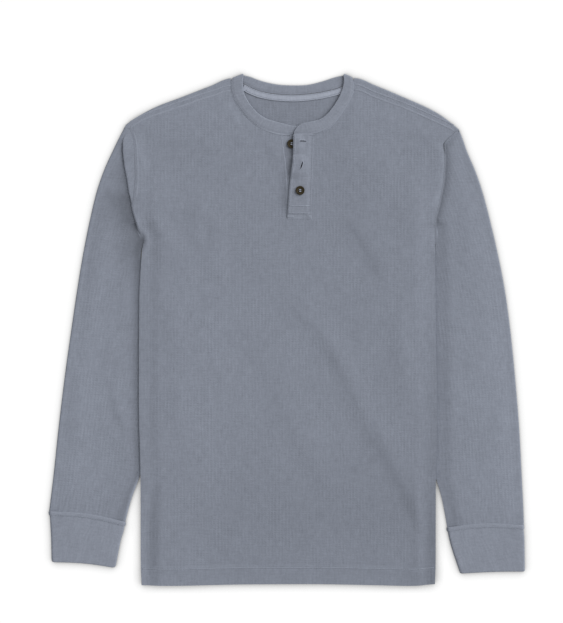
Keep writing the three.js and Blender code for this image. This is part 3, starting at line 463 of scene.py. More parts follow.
def wall(middle, normal, thickness, cloth_map, kept=None, ring=False, shade=0.0):
    """Vertices, faces, cloth coordinates and shade of a closed wall round a grid of middle points."""
    rows, columns = middle.shape[:2]
    cells = columns if ring else columns - 1
    kept = np.ones((rows - 1, cells), bool) if kept is None else kept
    half = np.broadcast_to(np.asarray(thickness, float) / 2, (rows, columns))[..., None]
    vertices = np.concatenate([(middle + normal * half).reshape(-1, 3), (middle - normal * half).reshape(-1, 3)])
    corners = wall_corners(kept, ring)
    side, i, j = corners[..., 0], corners[..., 1], corners[..., 2]
    faces = side * rows * columns + i * columns + j % columns
    shade = np.tile(np.broadcast_to(shade, (rows, columns)).ravel(), 2)
    return outward(vertices, faces, cloth_map.reshape(rows, -1, 2)[i, j], shade)


def joined(parts):
    """Several walls as one."""
    starts = np.cumsum([0] + [len(part[0]) for part in parts[:-1]])
    faces = np.concatenate([part[1] + start for part, start in zip(parts, starts)])
    return (np.concatenate([part[0] for part in parts]), faces,
            np.concatenate([part[2] for part in parts]), np.concatenate([part[3] for part in parts]))


def shell(name, *grid, **options):
    return new_object(name, *wall(*grid, **options))


PIECES = {}


def add(piece, node):
    """Registers a piece that stands for a node of the frame."""
    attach(piece, "root")
    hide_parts(node)
    PIECES[node] = piece
    triangles = sum(len(p.vertices) - 2 for p in piece.data.polygons)
    print(f"{piece.name}: {triangles} triangles, half its surface is "
          f"{sum(p.area for p in piece.data.polygons) / 2:.4f} square metres")
    return piece


# %% [markdown]
# ## Body
# The front and the back are one knit panel each, sewn at the sides. A column of the grid runs from the
# hem to the top of the panel, and a row from one side to the other, so that both panels share their
# side points. The front's sides turn down round the edge of the back, as they do at a side seam.

# %% Plan of the body panels


def body_plan(top_x, top_y, rows):
    """Places in plan: columns run from the hem to their top point, spread evenly between the side of the
    body and the middle line beside the placket."""
    x_top, row = np.meshgrid(top_x, rows)
    y_top = np.broadcast_to(top_y, x_top.shape)
    slot_top = 282.6
    centre_y = mix(hem_line(0.0), slot_top, row)
    starts = np.where(x_top > PLACKET_MIDDLE_X, slot_right(centre_y), slot_left(centre_y))
    starts_top = np.where(x_top > PLACKET_MIDDLE_X, slot_right(slot_top), slot_left(slot_top))
    corner = np.where(x_top > PLACKET_MIDDLE_X, RIGHT_SLEEVE["armhole_x"], LEFT_SLEEVE["armhole_x"])
    edges = [sleeve["edge"](mix(hem_line(sleeve["hem_x"]), sleeve["seam_top"], row)) for sleeve in SLEEVES]
    edge = np.where(x_top > PLACKET_MIDDLE_X, edges[1], edges[0])
    x = mix(starts, edge, (x_top - starts_top) / (corner - starts_top))
    across_slot = (x_top - slot_left(slot_top)) / (slot_right(slot_top) - slot_left(slot_top))
    over_slot = mix(slot_left(centre_y), slot_right(centre_y), across_slot)
    x = np.where((across_slot > 0) & (across_slot < 1), over_slot, x)
    return x, mix(hem_line(x), y_top, row)


def shoulder_tops(start, end, count):
    x = np.linspace(start, end, count)
    return x, shoulder_seam(x) - SEAM / 2


def grid_normals(points):
    """Upward normals of a height grid, from the cross product of its two directions."""
    along_row = np.gradient(points, axis=1)
    along_column = np.gradient(points, axis=0)
    normal = np.cross(along_row, along_column)
    normal /= np.linalg.norm(normal, axis=-1, keepdims=True)
    return normal * np.sign(normal[..., 2:])



def front_panel():
    left_x, left_y = shoulder_tops(LEFT_SLEEVE["armhole_x"], NECK_FRONT["x"][0], 46)
    right_x, right_y = shoulder_tops(NECK_FRONT["x"][-1], RIGHT_SLEEVE["armhole_x"], 46)
    neck = np.column_stack([NECK_FRONT["x"], NECK_FRONT["y"]])
    cut = int(np.argmax(neck[:, 0] > PLACKET_MIDDLE_X))
    neck_left, neck_right = through(neck[:cut], 26), through(neck[cut:], 26)
    slot_x = np.linspace(neck_left[-1, 0], neck_right[0, 0], 14)[1:-1]
    top_x = np.concatenate([left_x[:-1], neck_left[:, 0], slot_x, neck_right[:, 0], right_x[1:]])
    top_y = np.concatenate([left_y[:-1], neck_left[:, 1], np.full(12, 282.6), neck_right[:, 1], right_y[1:]])
    slot_row = (163 - hem_line(0.0)) / (282.6 - hem_line(0.0))
    rows = np.concatenate([np.linspace(0, slot_row, 190), np.linspace(slot_row, 1, 44)[1:]])
    x, y = body_plan(top_x, top_y, rows)
    thickness = panel_thickness(x, y)
    z = front_bottom(x, y) + (thickness - CLOTH) + thickness / 2
    middle = np.stack([x, y, z], -1)
    normal = grid_normals(middle)
    cloth_map = np.stack([x, y], -1)
    first = 45 + 26 - 1
    kept = np.ones((len(rows) - 1, len(top_x) - 1), bool)
    kept[189:, first:first + 13] = False
    return middle, normal, thickness, cloth_map, kept


def placket_gap_shadow(x, y):
    """Painted shadow in the deep gap along the left edge of the over placket: wide, and turning to painted light right
    at the edge.
    """
    gap = np.maximum(placket_left(y) - x, 0)
    reach = smooth(168, 184, y) * smooth(284, 262, y)
    return reach * (0.27 * np.exp(-((gap / 9) ** 2)) - 0.42 * np.exp(-((gap / 2.2) ** 2)))


def front_shade(x, y):
    """How much darker the front is painted than the sleeves, as in the photograph: most in the low middle and on the
    chest, and less along the left side and at the shoulders. Along both sides it is painted shade and painted light
    where the panel slopes towards or away from the lamp, and beside the placket it is a painted shadow in the gap."""
    low = 0.075 * np.exp(-(((x - 10) / 190) ** 2) - ((y + 275) / 80) ** 2)
    off_left, off_right = x - left_edge(y), right_edge(y) - x
    left = 0.05 * np.exp(-((off_left / 4) ** 2)) - 0.05 * np.exp(-(((off_left - 13) / 8) ** 2))
    left = left - 0.35 * np.exp(-((off_left / 7) ** 2) - ((y - 138) / 20) ** 2)
    right = 0.12 * np.exp(-(((off_right - 8) / 26) ** 2)) * smooth(70, -180, y)
    right = right - 0.15 * np.exp(-(((off_right - 2) / 7) ** 2)) * smooth(168, 185, y) * smooth(275, 262, y)
    right = right + 0.13 * np.exp(-(((off_right - 2) / 4) ** 2) - ((y - 118) / 20) ** 2)
    placket = np.maximum(placket_gap_shadow(x, y), 0)
    chest = 0.03 * np.exp(-(((x + 60) / 90) ** 2) - ((y - 160) / 70) ** 2)
    return 0.045 * smooth(345, 270, y) + low + left + right + chest + placket


*front_grid, front_kept = front_panel()
front_x, front_y = front_grid[0][..., 0], front_grid[0][..., 1]
front = add(shell("front_panel", *front_grid, front_kept, shade=front_shade(front_x, front_y)),
            "front")

# %% Back panel


def back_panel():
    left_x, left_y = shoulder_tops(LEFT_SLEEVE["armhole_x"], NECK_FRONT["x"][0], 34)
    right_x, right_y = shoulder_tops(NECK_FRONT["x"][-1], RIGHT_SLEEVE["armhole_x"], 34)
    neck_x = np.linspace(NECK_BACK["x"][0], NECK_BACK["x"][-1], 44)
    top_x = np.concatenate([left_x, neck_x, right_x])
    top_y = np.concatenate([left_y, neck_back(neck_x) - 10, right_y])
    is_neck = np.zeros(len(top_x), bool)
    is_neck[34:78] = True
    rows = np.linspace(0, 1, 170)
    x, y = body_plan(top_x, top_y, rows)
    thickness = panel_thickness(x, y)
    edge_distance = np.minimum(x - left_edge(y), right_edge(y) - x)
    creases = crease_height(BACK_CREASES, x, y) * smooth(12, 40, edge_distance)
    middle = np.stack([x, y, back_rise(x, y) + thickness / 2 + creases], -1)
    normal = -grid_normals(middle)
    roll_y = np.where(is_neck, neck_back(top_x) - SEAM / 2, fold_line(top_x) - SHOULDER_RADIUS - CLOTH / 2)
    angles = np.radians(np.linspace(-90, 90, 11))[:, None]
    turn = np.stack([
        np.broadcast_to(top_x, (11, len(top_x))), roll_y + SHOULDER_RADIUS * np.cos(angles),
        np.broadcast_to(CLOTH / 2 + SHOULDER_RADIUS * (1 + np.sin(angles)), (11, len(top_x)))], -1)
    turn_normal = np.broadcast_to(
        np.stack([0 * angles, np.cos(angles), np.sin(angles)], -1), turn.shape)
    parts = np.linspace(0, 1, 9)[1:, None]
    strip_y = mix(roll_y, shoulder_seam(top_x) + SEAM / 2, parts)
    strip = np.stack([np.broadcast_to(top_x, strip_y.shape), strip_y, np.full(strip_y.shape, SHOULDER_Z)], -1)
    strip_normal = np.broadcast_to(np.array([0.0, 0, 1]), strip.shape)
    over = np.concatenate([turn, strip])
    above_seam = smooth(0.5, 6, over[..., 1] - shoulder_seam(over[..., 0]))
    for sleeve, reach in ((LEFT_SLEEVE, 5), (RIGHT_SLEEVE, 6)):
        near_end = smooth(14, 0, (sleeve["armhole_x"] - over[..., 0]) * sleeve["side"])
        over[..., 0] += sleeve["side"] * reach * near_end * above_seam
        over[..., 1] -= 0.6 * reach * near_end * above_seam
    middle = np.concatenate([middle, over])
    normal = np.concatenate([normal, turn_normal, strip_normal])
    thickness = np.concatenate([thickness, np.full((11 + 8, len(top_x)), CLOTH)])
    length = np.linalg.norm(np.diff(middle[len(rows) - 1:], axis=0), axis=-1)
    beyond = np.cumsum(length, axis=0)
    cloth_map = np.stack([middle[..., 0], middle[..., 1]], -1)
    cloth_map[len(rows):, :, 1] = cloth_map[len(rows) - 1, :, 1] + beyond
    kept = np.ones((len(middle) - 1, len(top_x) - 1), bool)
    kept[len(rows):, 33:78] = False
    return middle, normal, thickness, cloth_map, kept


back_points, back_normals, back_thickness, back_map, back_kept = back_panel()
# The back is painted darker inside the neck opening: partly the knit's darker reverse face, partly painted shade under
# the band.
inside_neck = smooth(200, 290, back_points[..., 1]) * smooth(2.4, 1.6, back_points[..., 2])
back = add(shell("back_panel", back_points, back_normals, back_thickness, back_map, back_kept,
                 shade=0.09 * inside_neck), "back")

# %% [markdown]
# ## Sleeves
# A sleeve is one sheet that starts at the front armhole seam, runs out to the fold at its outer edge and
# comes back underneath. On the left the cloth folds over itself beside the seam as a soft pleat. Each
# row of the grid is that path seen in section: a place s across the sleeve, a height z, and the angle
# of the normal.

# %% Sleeve panels


UPPER_STEPS = 44
LEG_START = 4 + 8 + 8 - 1                  # columns of the flap, its roll and the roll back come first
OUTER_FOLD = LEG_START + UPPER_STEPS + 5   # column of the grid at the fold of the outer edge


def sleeve_section(sleeve, y, width, covered_from):
    """Path across the sleeve at rows y, as lists of s, z and the normal's angle, each an array of rows.
    Flap, roll down, hidden run back, roll, upper layer, roll of the outer edge, lower layer."""
    turn, run, drop = pleat_at(sleeve, y)
    flap = sleeve["flap"](y)
    low = sleeve_low(y)
    high = CLOTH / 2 + 2 * SHOULDER_RADIUS
    spread = 0.7 * (1 - turn / np.pi) * 3 / 7
    path = []
    for part in (0, 0.25, 0.5, 0.75):
        path.append((mix(SEAM, flap, part), low + drop, np.full_like(y, 90)))
    shift = np.zeros_like(y)
    for part in np.linspace(0, 1, 8):
        angle = turn * part
        path.append((flap + shift + PLEAT_RADIUS * np.sin(angle),
                     low + drop - PLEAT_RADIUS * (1 - np.cos(angle)), 90 - np.degrees(angle)))
        shift = shift + spread
    run_s = PLEAT_RADIUS * np.sin(turn) + run * np.cos(turn)
    run_z = low + drop - PLEAT_RADIUS * (1 - np.cos(turn)) - run * np.sin(turn)
    for part in np.linspace(1, 0, 8):
        angle = turn * part
        path.append((flap + shift + run_s + PLEAT_RADIUS * (np.sin(turn) - np.sin(angle)),
                     run_z - PLEAT_RADIUS * (np.cos(angle) - np.cos(turn)), 90 - np.degrees(angle)))
        shift = shift + spread
    leg_start = path[-1][0]
    covered = covered_from + leg_start - 2
    centre = width - SHOULDER_RADIUS - CLOTH / 2
    reach = np.minimum(20, (centre - covered) * 0.6)
    for part in np.arange(1, UPPER_STEPS) / UPPER_STEPS:
        s = mix(leg_start, centre, part)
        path.append((s, mix(low, high, smooth(covered, covered + reach, s)), np.full_like(y, 90)))
    for angle in np.linspace(90, -90, 11):
        radians = math.radians(angle)
        path.append((centre + SHOULDER_RADIUS * math.cos(radians),
                     np.full_like(y, CLOTH / 2 + SHOULDER_RADIUS * (1 + math.sin(radians))),
                     np.full_like(y, angle)))
    for part in np.arange(1, 17) / 16:
        path.append((mix(centre, SEAM, part), np.full_like(y, CLOTH / 2), np.full_like(y, -90)))
    s, z, angle = (np.stack(values, 1) for values in zip(*path))
    return s, z, angle, leg_start, covered, centre


SEAM_ARCH = 4.3      # how far the cuff's seam arches up in its middle


def sleeve_panel(sleeve):
    armhole = np.linspace(sleeve["seam_top"], sleeve["underarm"], 62)
    below = np.linspace(sleeve["underarm"], sleeve["cuff_seam"]["inner"], 124)[1:]
    inner_y = np.concatenate([armhole, below])
    row = (armhole[0] - inner_y) / (armhole[0] - sleeve["cuff_seam"]["inner"])
    outer_y = mix(sleeve["top"], sleeve["cuff_seam"]["outer"], row)
    inner_x = np.where(inner_y >= sleeve["underarm"], sleeve["edge"](inner_y), sleeve["inner_line"](inner_y))
    across = np.stack([sleeve["outer_line"](outer_y) - inner_x, outer_y - inner_y], -1)
    width = np.linalg.norm(across, axis=1)
    across /= width[:, None]
    hidden = np.maximum(0, (sleeve["edge"](inner_y) - inner_x) * sleeve["side"])
    s, z, angle, leg_start, covered, centre = sleeve_section(sleeve, inner_y, width, hidden)
    x = inner_x[:, None] + across[:, :1] * s
    near_cuff = smooth(0.86, 1, row)[:, None]
    y = inner_y[:, None] + across[:, 1:] * s + SEAM_ARCH * near_cuff * np.sin(np.pi * np.clip(s / width[:, None], 0, 1))
    free = (angle == 90) & (np.arange(s.shape[1]) >= LEG_START)
    fade = smooth(0, 14, s - covered[:, None]) * smooth(0, 14, centre[:, None] - s)
    lift = crease_height(sleeve["creases"], x, y) + 0.45 * undulation(x, y, 2)
    lift = lift + SLEEVE_PUFF * smooth(0, 30, centre[:, None] - s) * smooth(0, 24, s - covered[:, None])
    lift = lift + 0.3 * np.sin(s * (2 * np.pi / 7.3) + np.sin(s / 9)) * smooth(0.93, 1, row)[:, None]
    z = z + np.where(free, lift * fade, 0)
    under = np.clip(0.5 * crease_height(sleeve["creases"], x, y), 0, 0.8)
    inside = smooth(6, 22, s) * smooth(6, 22, centre[:, None] - s) * smooth(1, 0.93, row)[:, None]
    z = z + np.where((angle == -90) & (s < centre[:, None]), under * inside, 0)
    middle = np.stack([x, y, z], -1)
    radians = np.radians(angle)
    normal = np.stack([across[:, :1] * np.cos(radians), across[:, 1:] * np.cos(radians), np.sin(radians)], -1)
    step = np.linalg.norm(np.diff(middle, axis=1), axis=-1)
    around = np.concatenate([np.zeros((len(y), 1)), np.cumsum(step, axis=1)], 1)
    around = around - around[:, OUTER_FOLD:OUTER_FOLD + 1]
    down = np.append(0, np.cumsum(np.linalg.norm(np.diff(middle[:, 60], axis=0), axis=-1)))
    cloth_map = np.stack([around, np.broadcast_to(-down[:, None], around.shape)], -1)
    # Painted shade on the upper layer beside the body and beside the pleat, where the body's edge shades it; painted
    # light right at that edge and on a wide pleat's roll, painted shade on a narrow pleat's roll; a little lighter
    # towards the outer fold; and painted shade in the puckers just above the cuff.
    folded = sleeve["turn"](inner_y) / 180
    flap = sleeve["flap"](inner_y)
    seen_from = np.maximum(hidden, folded * (flap + PLEAT_RADIUS))
    pleated = folded * smooth(3, 9, flap)
    beside = np.maximum(s - seen_from[:, None], 0)
    low_shade, high_shade, low_width, high_width, flap_shade, edge_light, roll_shade = sleeve["hollow"]
    high = smooth(50, 130, inner_y)
    beside_body = mix(low_shade, high_shade, high)[:, None] * np.exp(
        -((beside / mix(low_width, high_width, high)[:, None]) ** 1.6))
    flap_width = np.interp(inner_y, [190, 218, 247], [10, 13, 4.5])[:, None]
    beside_flap = flap_shade * np.exp(-((beside / flap_width) ** 1.4))
    beside_body = beside_body * smooth(286, 266, inner_y)[:, None]
    bare = np.maximum(smooth(125, 100, inner_y), 1.4 * folded * smooth(250, 225, inner_y))
    at_edge = edge_light * np.exp(-((beside / mix(3.2, 1.8, folded)[:, None]) ** 2)) * bare[:, None]
    outside = 0.03 * smooth(60, 95, s)
    hollow = mix(beside_body, beside_flap, pleated[:, None]) - at_edge - outside
    column_number = np.arange(s.shape[1])
    roll = (column_number > 5) & (column_number < 10)
    flap_light_and_shade = roll_shade * (column_number < 10) * (smooth(6, 2, flap) * folded)[:, None]
    flap_light_and_shade = flap_light_and_shade - 0.3 * roll * pleated[:, None]
    opened = smooth(0.35, 0, folded) * smooth(200, 180, inner_y)
    in_flap = mix(flap_light_and_shade, hollow, opened[:, None])
    seam_columns = (angle > -90) & (column_number < LEG_START)
    shade = np.where(free, hollow, np.where(seam_columns, in_flap, 0)) + 0.05 * near_cuff ** 4
    return middle, normal, cloth_map, shade


# Painted shade and painted light on each sleeve: how much darker the sleeve is painted beside the body, low down and by
# the underarm, where the body's edge shades it, how wide each of the two hollows is, how much darker it is painted
# beside the pleat, how much lighter right at the edge, and how much darker a narrow pleat's own roll is
LEFT_SLEEVE["hollow"] = (0.24, 0.50, 19, 28, 0.46, 0.55, 0.15)
RIGHT_SLEEVE["hollow"] = (0.14, 0.20, 9, 9, 0.20, 0.0, 0.36)
sleeve_grids = {}
for name, sleeve in (("left", LEFT_SLEEVE), ("right", RIGHT_SLEEVE)):
    sleeve_grids[name] = sleeve_panel(sleeve)
    points, normals, cloth_map, shade = sleeve_grids[name]
    add(shell(f"sleeve_panel_{name}", points, normals, CLOTH, cloth_map, shade=shade), f"sleeve_{name}")

# %% [markdown]
# ## Cuffs
# A cuff is a tube of doubled fine rib, pressed flat, with a folded lower edge. Its section is a flat
# ring: two straight runs and two half circles.

# %% Cuffs


def round_edge(thickness, distance):
    """Thickness near a folded edge, which is a half circle in section: 2 sqrt(r^2 - (r - d)^2)."""
    radius = thickness / 2
    inward = np.clip(distance / radius, 0, 1)
    return thickness * np.sqrt(np.clip(1 - (1 - inward) ** 2, 0.01, 1))


BAND_RADIUS = 1.8
EDGE_STEPS = np.array([0, 0.08, 0.3, 0.7, 1.2])


LEFT_SLEEVE["cuff_corner"] = 3.5      # radius of the cuff's lower corners
RIGHT_SLEEVE["cuff_corner"] = 1.6


def cuff(sleeve):
    seam, data, side = sleeve["cuff_seam"], sleeve["cuff"], sleeve["side"]
    seam_row = [sleeve["outer_line"](seam["outer"]) - side * CUFF_INSET, seam["outer"] - SEAM,
                sleeve["inner_line"](seam["inner"]), seam["inner"] - SEAM, SEAM_ARCH]
    rows = np.vstack([seam_row, np.stack([data[k] for k in ("outer_x", "outer_y", "inner_x", "inner_y", "arch")], 1)])
    rows = through(rows, 200)
    length = np.linalg.norm(rows[-1, :2] - rows[0, :2])
    places = np.concatenate([np.linspace(0, length - 3, 40), length - EDGE_STEPS[::-1]])
    rows = np.stack([np.interp(places, np.linspace(0, length, 200), rows[:, k]) for k in range(5)], 1)
    outer, inner, arch = rows[:, 0:2], rows[:, 2:4], rows[:, 4:5]
    width = np.linalg.norm(outer - inner, axis=1)[:, None]
    across = (outer - inner) / width
    radius = sleeve["cuff_corner"]
    corner = 1 - np.clip((length - places) / radius, 0, 1)[:, None]
    near = BAND_RADIUS + DOUBLE / 2 + radius * (1 - np.sqrt(1 - corner ** 2 * 0.99))
    far = width - near
    flat = np.linspace(0, 1, 34)[1:-1]
    turns = np.linspace(90, -90, 11)
    centre = np.concatenate([
        np.repeat(near, 11, 1), mix(near, far, flat), np.repeat(far, 11, 1), mix(far, near, flat)], 1)
    angle = np.concatenate([180 - turns[::-1], np.full(32, 90), turns, np.full(32, -90)])
    angle = np.radians(angle)
    s = centre + BAND_RADIUS * np.cos(angle)
    x = inner[:, :1] + across[:, :1] * s
    y = inner[:, 1:] + across[:, 1:] * s + arch * np.sin(np.pi * np.clip(s / width, 0, 1))
    z = DOUBLE / 2 + BAND_RADIUS + BAND_RADIUS * np.sin(angle) + 0 * s
    middle = np.stack([x, y, z], -1)
    normal = np.stack([across[:, :1] * np.cos(angle), across[:, 1:] * np.cos(angle), np.sin(angle) + 0 * s], -1)
    thickness = round_edge(DOUBLE, length - places)[:, None] + 0 * s
    # Painted shade along both folded sides, where the flattened tube turns down, and a lighter streak 7 mm in from each
    # side.
    streak = np.exp(-(((s - 7) / 1.8) ** 2)) + np.exp(-(((width - 7 - s) / 1.8) ** 2))
    shade = 0.03 * smooth(4, 0, np.minimum(s, width - s)) - 0.05 * streak
    step = np.linalg.norm(np.diff(middle, axis=1, append=middle[:, :1]), axis=-1)
    around = np.concatenate([np.zeros((len(rows), 1)), np.cumsum(step, axis=1)], 1)
    cloth_map = np.stack([around, np.broadcast_to(-places[:, None], around.shape)], -1)
    return middle, normal, thickness, cloth_map, shade


cuff_grids = {}
for name, sleeve in (("left", LEFT_SLEEVE), ("right", RIGHT_SLEEVE)):
    *grid, shade = cuff(sleeve)
    cuff_grids[name] = grid
    add(shell(f"cuff_rib_{name}", *grid, ring=True, shade=shade), f"cuff_{name}")

# %% [markdown]
# ## Neckband
# The band is a folded strip of fine rib that stands a little above the panels. It runs from the under
# placket round the front neck, rolls over at each collar point, and crosses the back. Each row of the
# tables is a pair of points: one on the seam and one on the folded free edge.

# %% Neckband
UNDER_Z = 3.5
OVER_Z = 6.15
BAND_LEFT = table(
    "seam_x seam_y free_x free_y z", (31, 283.2, 31, 297.4, UNDER_Z), (10, 283, 10, 295.6, UNDER_Z),
    (-7.3, 283, -5, 298.8, 3.9), (-23.4, 286.9, -18, 302.2, 4.5), (-39.4, 294.1, -32, 307.2, 4.8),
    (-55.8, 307.4, -44.5, 316.5, 4.8), (-68.8, 323.4, -55, 329.5, 4.8), (-77.8, 341, -62.3, 345, 4.8),
    (-79.3, 355, -63.6, 360, 4.8))
BAND_BACK = table(
    "seam_x seam_y free_x free_y z", (-63.7, 357.8, -53.3, 366.6, 1.2), (-50.8, 350.9, -42, 362.2, 1.2),
    (-34.7, 345.2, -29, 358.4, 1.2), (-14.1, 341.9, -12, 355.2, 1.2), (8.8, 340.7, 9.1, 354.1, 1.2),
    (32.8, 342.3, 30.8, 355, 1.2), (56.9, 346.2, 52, 360, 1.2), (79.7, 352.6, 69, 365.6, 1.2))
BAND_RIGHT = table(
    "seam_x seam_y free_x free_y z", (96, 355, 82.4, 360, 4.8), (94.9, 343, 79.6, 346.5, 4.8),
    (87, 326.7, 72.2, 331, 4.8), (72.5, 304.9, 60.5, 315, 4.9), (61.6, 293, 51, 306.7, 5.1),
    (49, 286.8, 41, 302.9, 5.5), (37.8, 283.4, 31, 300.9, 6.2), (23, 283.2, 22, 298.8, 6.2),
    (14.6, 283.2, 15.4, 294.4, 6.2), (10.2, 283.2, 10.9, 287.6, 6.2))
BAND_TIPS = (np.array([[-80.1, 364.7], [-63.4, 371.2]]), np.array([[96.4, 365.6], [83.2, 371.2]]))


def band_rows(data):
    """Pairs of points as an array (row, seam or free, xyz)."""
    seam = np.stack([data["seam_x"], data["seam_y"], data["z"]], 1)
    free = np.stack([data["free_x"], data["free_y"], data["z"]], 1)
    return np.stack([seam, free], 1)


def band_roll(tip, angles):
    """The band turning over a collar point, on a half circle about the line from seam to free edge."""
    along = (tip[1] - tip[0]) / np.linalg.norm(tip[1] - tip[0])
    out = np.array([-along[1], along[0]])
    out = out * np.sign(out[1])
    reach = BAND_RADIUS * np.cos(angles) - BAND_RADIUS - DOUBLE / 2
    place = tip[None] + out * reach[:, None, None]
    height = DOUBLE / 2 + BAND_RADIUS * (1 + np.sin(angles))
    rows = np.concatenate([place, np.broadcast_to(height[:, None, None], (len(angles), 2, 1))], -1)
    normal = np.stack([out[0] * np.cos(angles), out[1] * np.cos(angles), np.sin(angles)], 1)
    return rows, normal


def neckband():
    half_turn = np.radians(np.linspace(90, -90, 13))
    left_roll, left_normal = band_roll(BAND_TIPS[0], half_turn)
    right_roll, right_normal = band_roll(BAND_TIPS[1], half_turn[::-1])
    front_left = np.concatenate([band_rows(BAND_LEFT), left_roll[:1]])
    across_back = np.concatenate([left_roll[-1:], band_rows(BAND_BACK), right_roll[:1]])
    front_right = np.concatenate([right_roll[-1:], band_rows(BAND_RIGHT)])
    runs = []
    for rows, count in ((front_left, 80), (across_back, 70), (front_right, 80)):
        runs.append(through(rows.reshape(len(rows), 6), count).reshape(count, 2, 3))
    up, down = np.array([0.0, 0, 1]), np.array([0.0, 0, -1])
    rows = np.concatenate([runs[0], left_roll[1:-1], runs[1], right_roll[1:-1], runs[2]])
    normal = np.concatenate([
        np.tile(up, (80, 1)), left_normal[1:-1], np.tile(down, (70, 1)), right_normal[1:-1], np.tile(up, (80, 1))])
    width = np.linalg.norm(rows[:, 1] - rows[:, 0], axis=1)[:, None]
    s = np.concatenate([
        0 * width, 0.3 + 0 * width, 0.8 + 0 * width, width * np.linspace(0.12, 0.88, 12), width - EDGE_STEPS[::-1]], 1)
    s = np.sort(np.clip(s, 0, width), axis=1)
    middle = rows[:, :1] + (rows[:, 1:] - rows[:, :1]) * (s / width)[..., None]
    normal = np.broadcast_to(normal[:, None], middle.shape)
    thickness = round_edge(DOUBLE, width - s)
    thickness = np.minimum(thickness, DOUBLE * mix(0.5, 1, smooth(0, 4, s)))
    centre = middle[:, 6]
    along = np.append(0, np.cumsum(np.linalg.norm(np.diff(centre, axis=0), axis=-1)))
    cloth_map = np.stack([np.broadcast_to(along[:, None], s.shape), s], -1)
    # Lighter along the folded free edge and along the seam edge: partly wear of the dye on the edges, partly a painted
    # highlight on their rounding.
    shade = -0.07 * np.exp(-(((width - s) / 1.8) ** 2)) - 0.04 * np.exp(-((s / 1.5) ** 2))
    return middle, normal, thickness, cloth_map, shade


*band_grid, band_shade = neckband()
band = add(shell("neckband_rib", *band_grid, shade=band_shade), "neckband")
band_length = band_grid[3][-1, 0, 0]
band_width = band_grid[3][:, -1, 1].mean()
print(f"neckband: {band_length:.0f} mm long along its middle and {band_width:.1f} mm wide")

# %% [markdown]
# ## Neck tape
# A narrow tape covers the seam inside the back neck. It follows the seam at a constant width.

# %% Neck tape
TAPE = 1.0
TAPE_WIDTH = 9


def neck_tape():
    x = np.linspace(-61, 82, 110)
    top = neck_back(x) - 0.6
    slope = np.gradient(neck_back(x), x)
    across = np.stack([slope, -np.ones_like(x)], 1) / np.hypot(slope, 1)[:, None]
    s = np.concatenate([[0, 0.1, 0.35], np.linspace(0.8, TAPE_WIDTH - 0.8, 9), TAPE_WIDTH - np.array([0.35, 0.1, 0])])
    place = np.stack([x, top], 1)[:, None] + across[:, None] * s[None, :, None]
    middle = np.concatenate([place, np.full((*place.shape[:2], 1), CLOTH + SEAM + TAPE / 2)], -1)
    normal = np.broadcast_to(np.array([0.0, 0, 1]), middle.shape)
    thickness = np.broadcast_to(round_edge(TAPE, np.minimum(s, TAPE_WIDTH - s)), middle.shape[:2])
    along = np.append(0, np.cumsum(np.hypot(np.diff(x), np.diff(top))))
    cloth_map = np.stack(np.broadcast_arrays(along[:, None], s[None]), -1)
    return middle, normal, thickness, cloth_map


tape = add(shell("neck_tape_strip", *neck_tape()), "neck_tape")

# %% [markdown]
# ## Plackets
# The placket is a slot in the front with a strip of doubled rib on each side. The upper strip carries
# the buttonholes and lies over the lower one, which carries the buttons, so the upper one bulges a
# little where an open button lies beneath it.

# %% Plackets
BUTTON_RADIUS = 6.5
BUTTON_HEIGHT = 2.6
BUTTONS = {"top": (7.2, 269.1, False), "middle": (14.1, 237.1, False), "bottom": (19.4, 201.4, True)}
SLITS = {"top": ((8.6, 19.0), (272.1, 273.3)), "middle": ((13.2, 14.4), (232.4, 243)),
         "bottom": ((13.2, 14.4), (196.5, 206))}
OPEN_SLITS = {"top": (0, 0.45, 0.0), "middle": (1, 0.6, 0.2)}   # long axis, how far it gapes, tilt
PLACKET_BOTTOM = 160.4
TOPSTITCH = 2.2          # how far the topstitching is from an edge
BOX_LOW, BOX_HIGH = 168.5, 179.1
PLACKET_TOP = 282.6


def button_lift(x, y):
    lift = np.zeros(np.shape(x))
    for button_x, button_y, on_top in BUTTONS.values():
        if not on_top:
            distance = np.hypot(x - button_x, y - button_y)
            lift = np.maximum(lift, (BUTTON_HEIGHT + SEAM) * smooth(22, 8.5, distance))
    return lift


def gaping(s, y):
    """Moves places beside the open buttonholes apart, into a lens, and tilts the middle one."""
    moved_s, moved_y = s, y
    for name, (long_axis, gape, tilt) in OPEN_SLITS.items():
        (s0, s1), (y0, y1) = SLITS[name]
        off_s, off_y = s - (s0 + s1) / 2, y - (y0 + y1) / 2
        along, off, half = ((off_s, off_y, (s1 - s0) / 2), (off_y, off_s, (y1 - y0) / 2))[long_axis]
        push = gape * np.tanh(off / 0.5) * np.exp(-((off / 4) ** 2)) * np.clip(1 - (along / half) ** 2, 0, 1)
        lean = tilt * along * np.exp(-((off / 9) ** 2) - (along / 9) ** 2)
        if long_axis:
            moved_s = moved_s + push + lean
        else:
            moved_y = moved_y + push
    return moved_s, moved_y


def grid_lines(start, end, step, extra):
    """Even steps from start to end, moved onto the extra places where they are close to one."""
    lines = np.linspace(start, end, int(round((end - start) / step)) + 1)
    for place in extra:
        lines[np.argmin(np.abs(lines - place))] = place
    return np.unique(lines)


def over_faces(s, y):
    """Heights of the upper and lower face of the over placket at s from its left edge. It is sewn down
    flat at its right and lower edges, and its left edge curls up a little."""
    x = placket_left(y) + s
    width = placket_right(y) - placket_left(y)
    sewn_down = np.maximum(smooth(22, 34, s), smooth(186, 168, y))
    curl = 0.3 * smooth(5, 0, s) * smooth(182, 215, y) * smooth(282, 268, y)
    bottom = mix(OVER_Z - DOUBLE / 2, front_top(x, y) + 0.1, sewn_down) + curl + button_lift(x, y)
    thickness = mix(0.35, DOUBLE, smooth(0, 10, np.minimum(width - s, y - PLACKET_BOTTOM)))
    thickness = np.where(s < 9, np.maximum(thickness, 1.6 * smooth(0, 3, y - PLACKET_BOTTOM)), thickness)
    return bottom + thickness, bottom


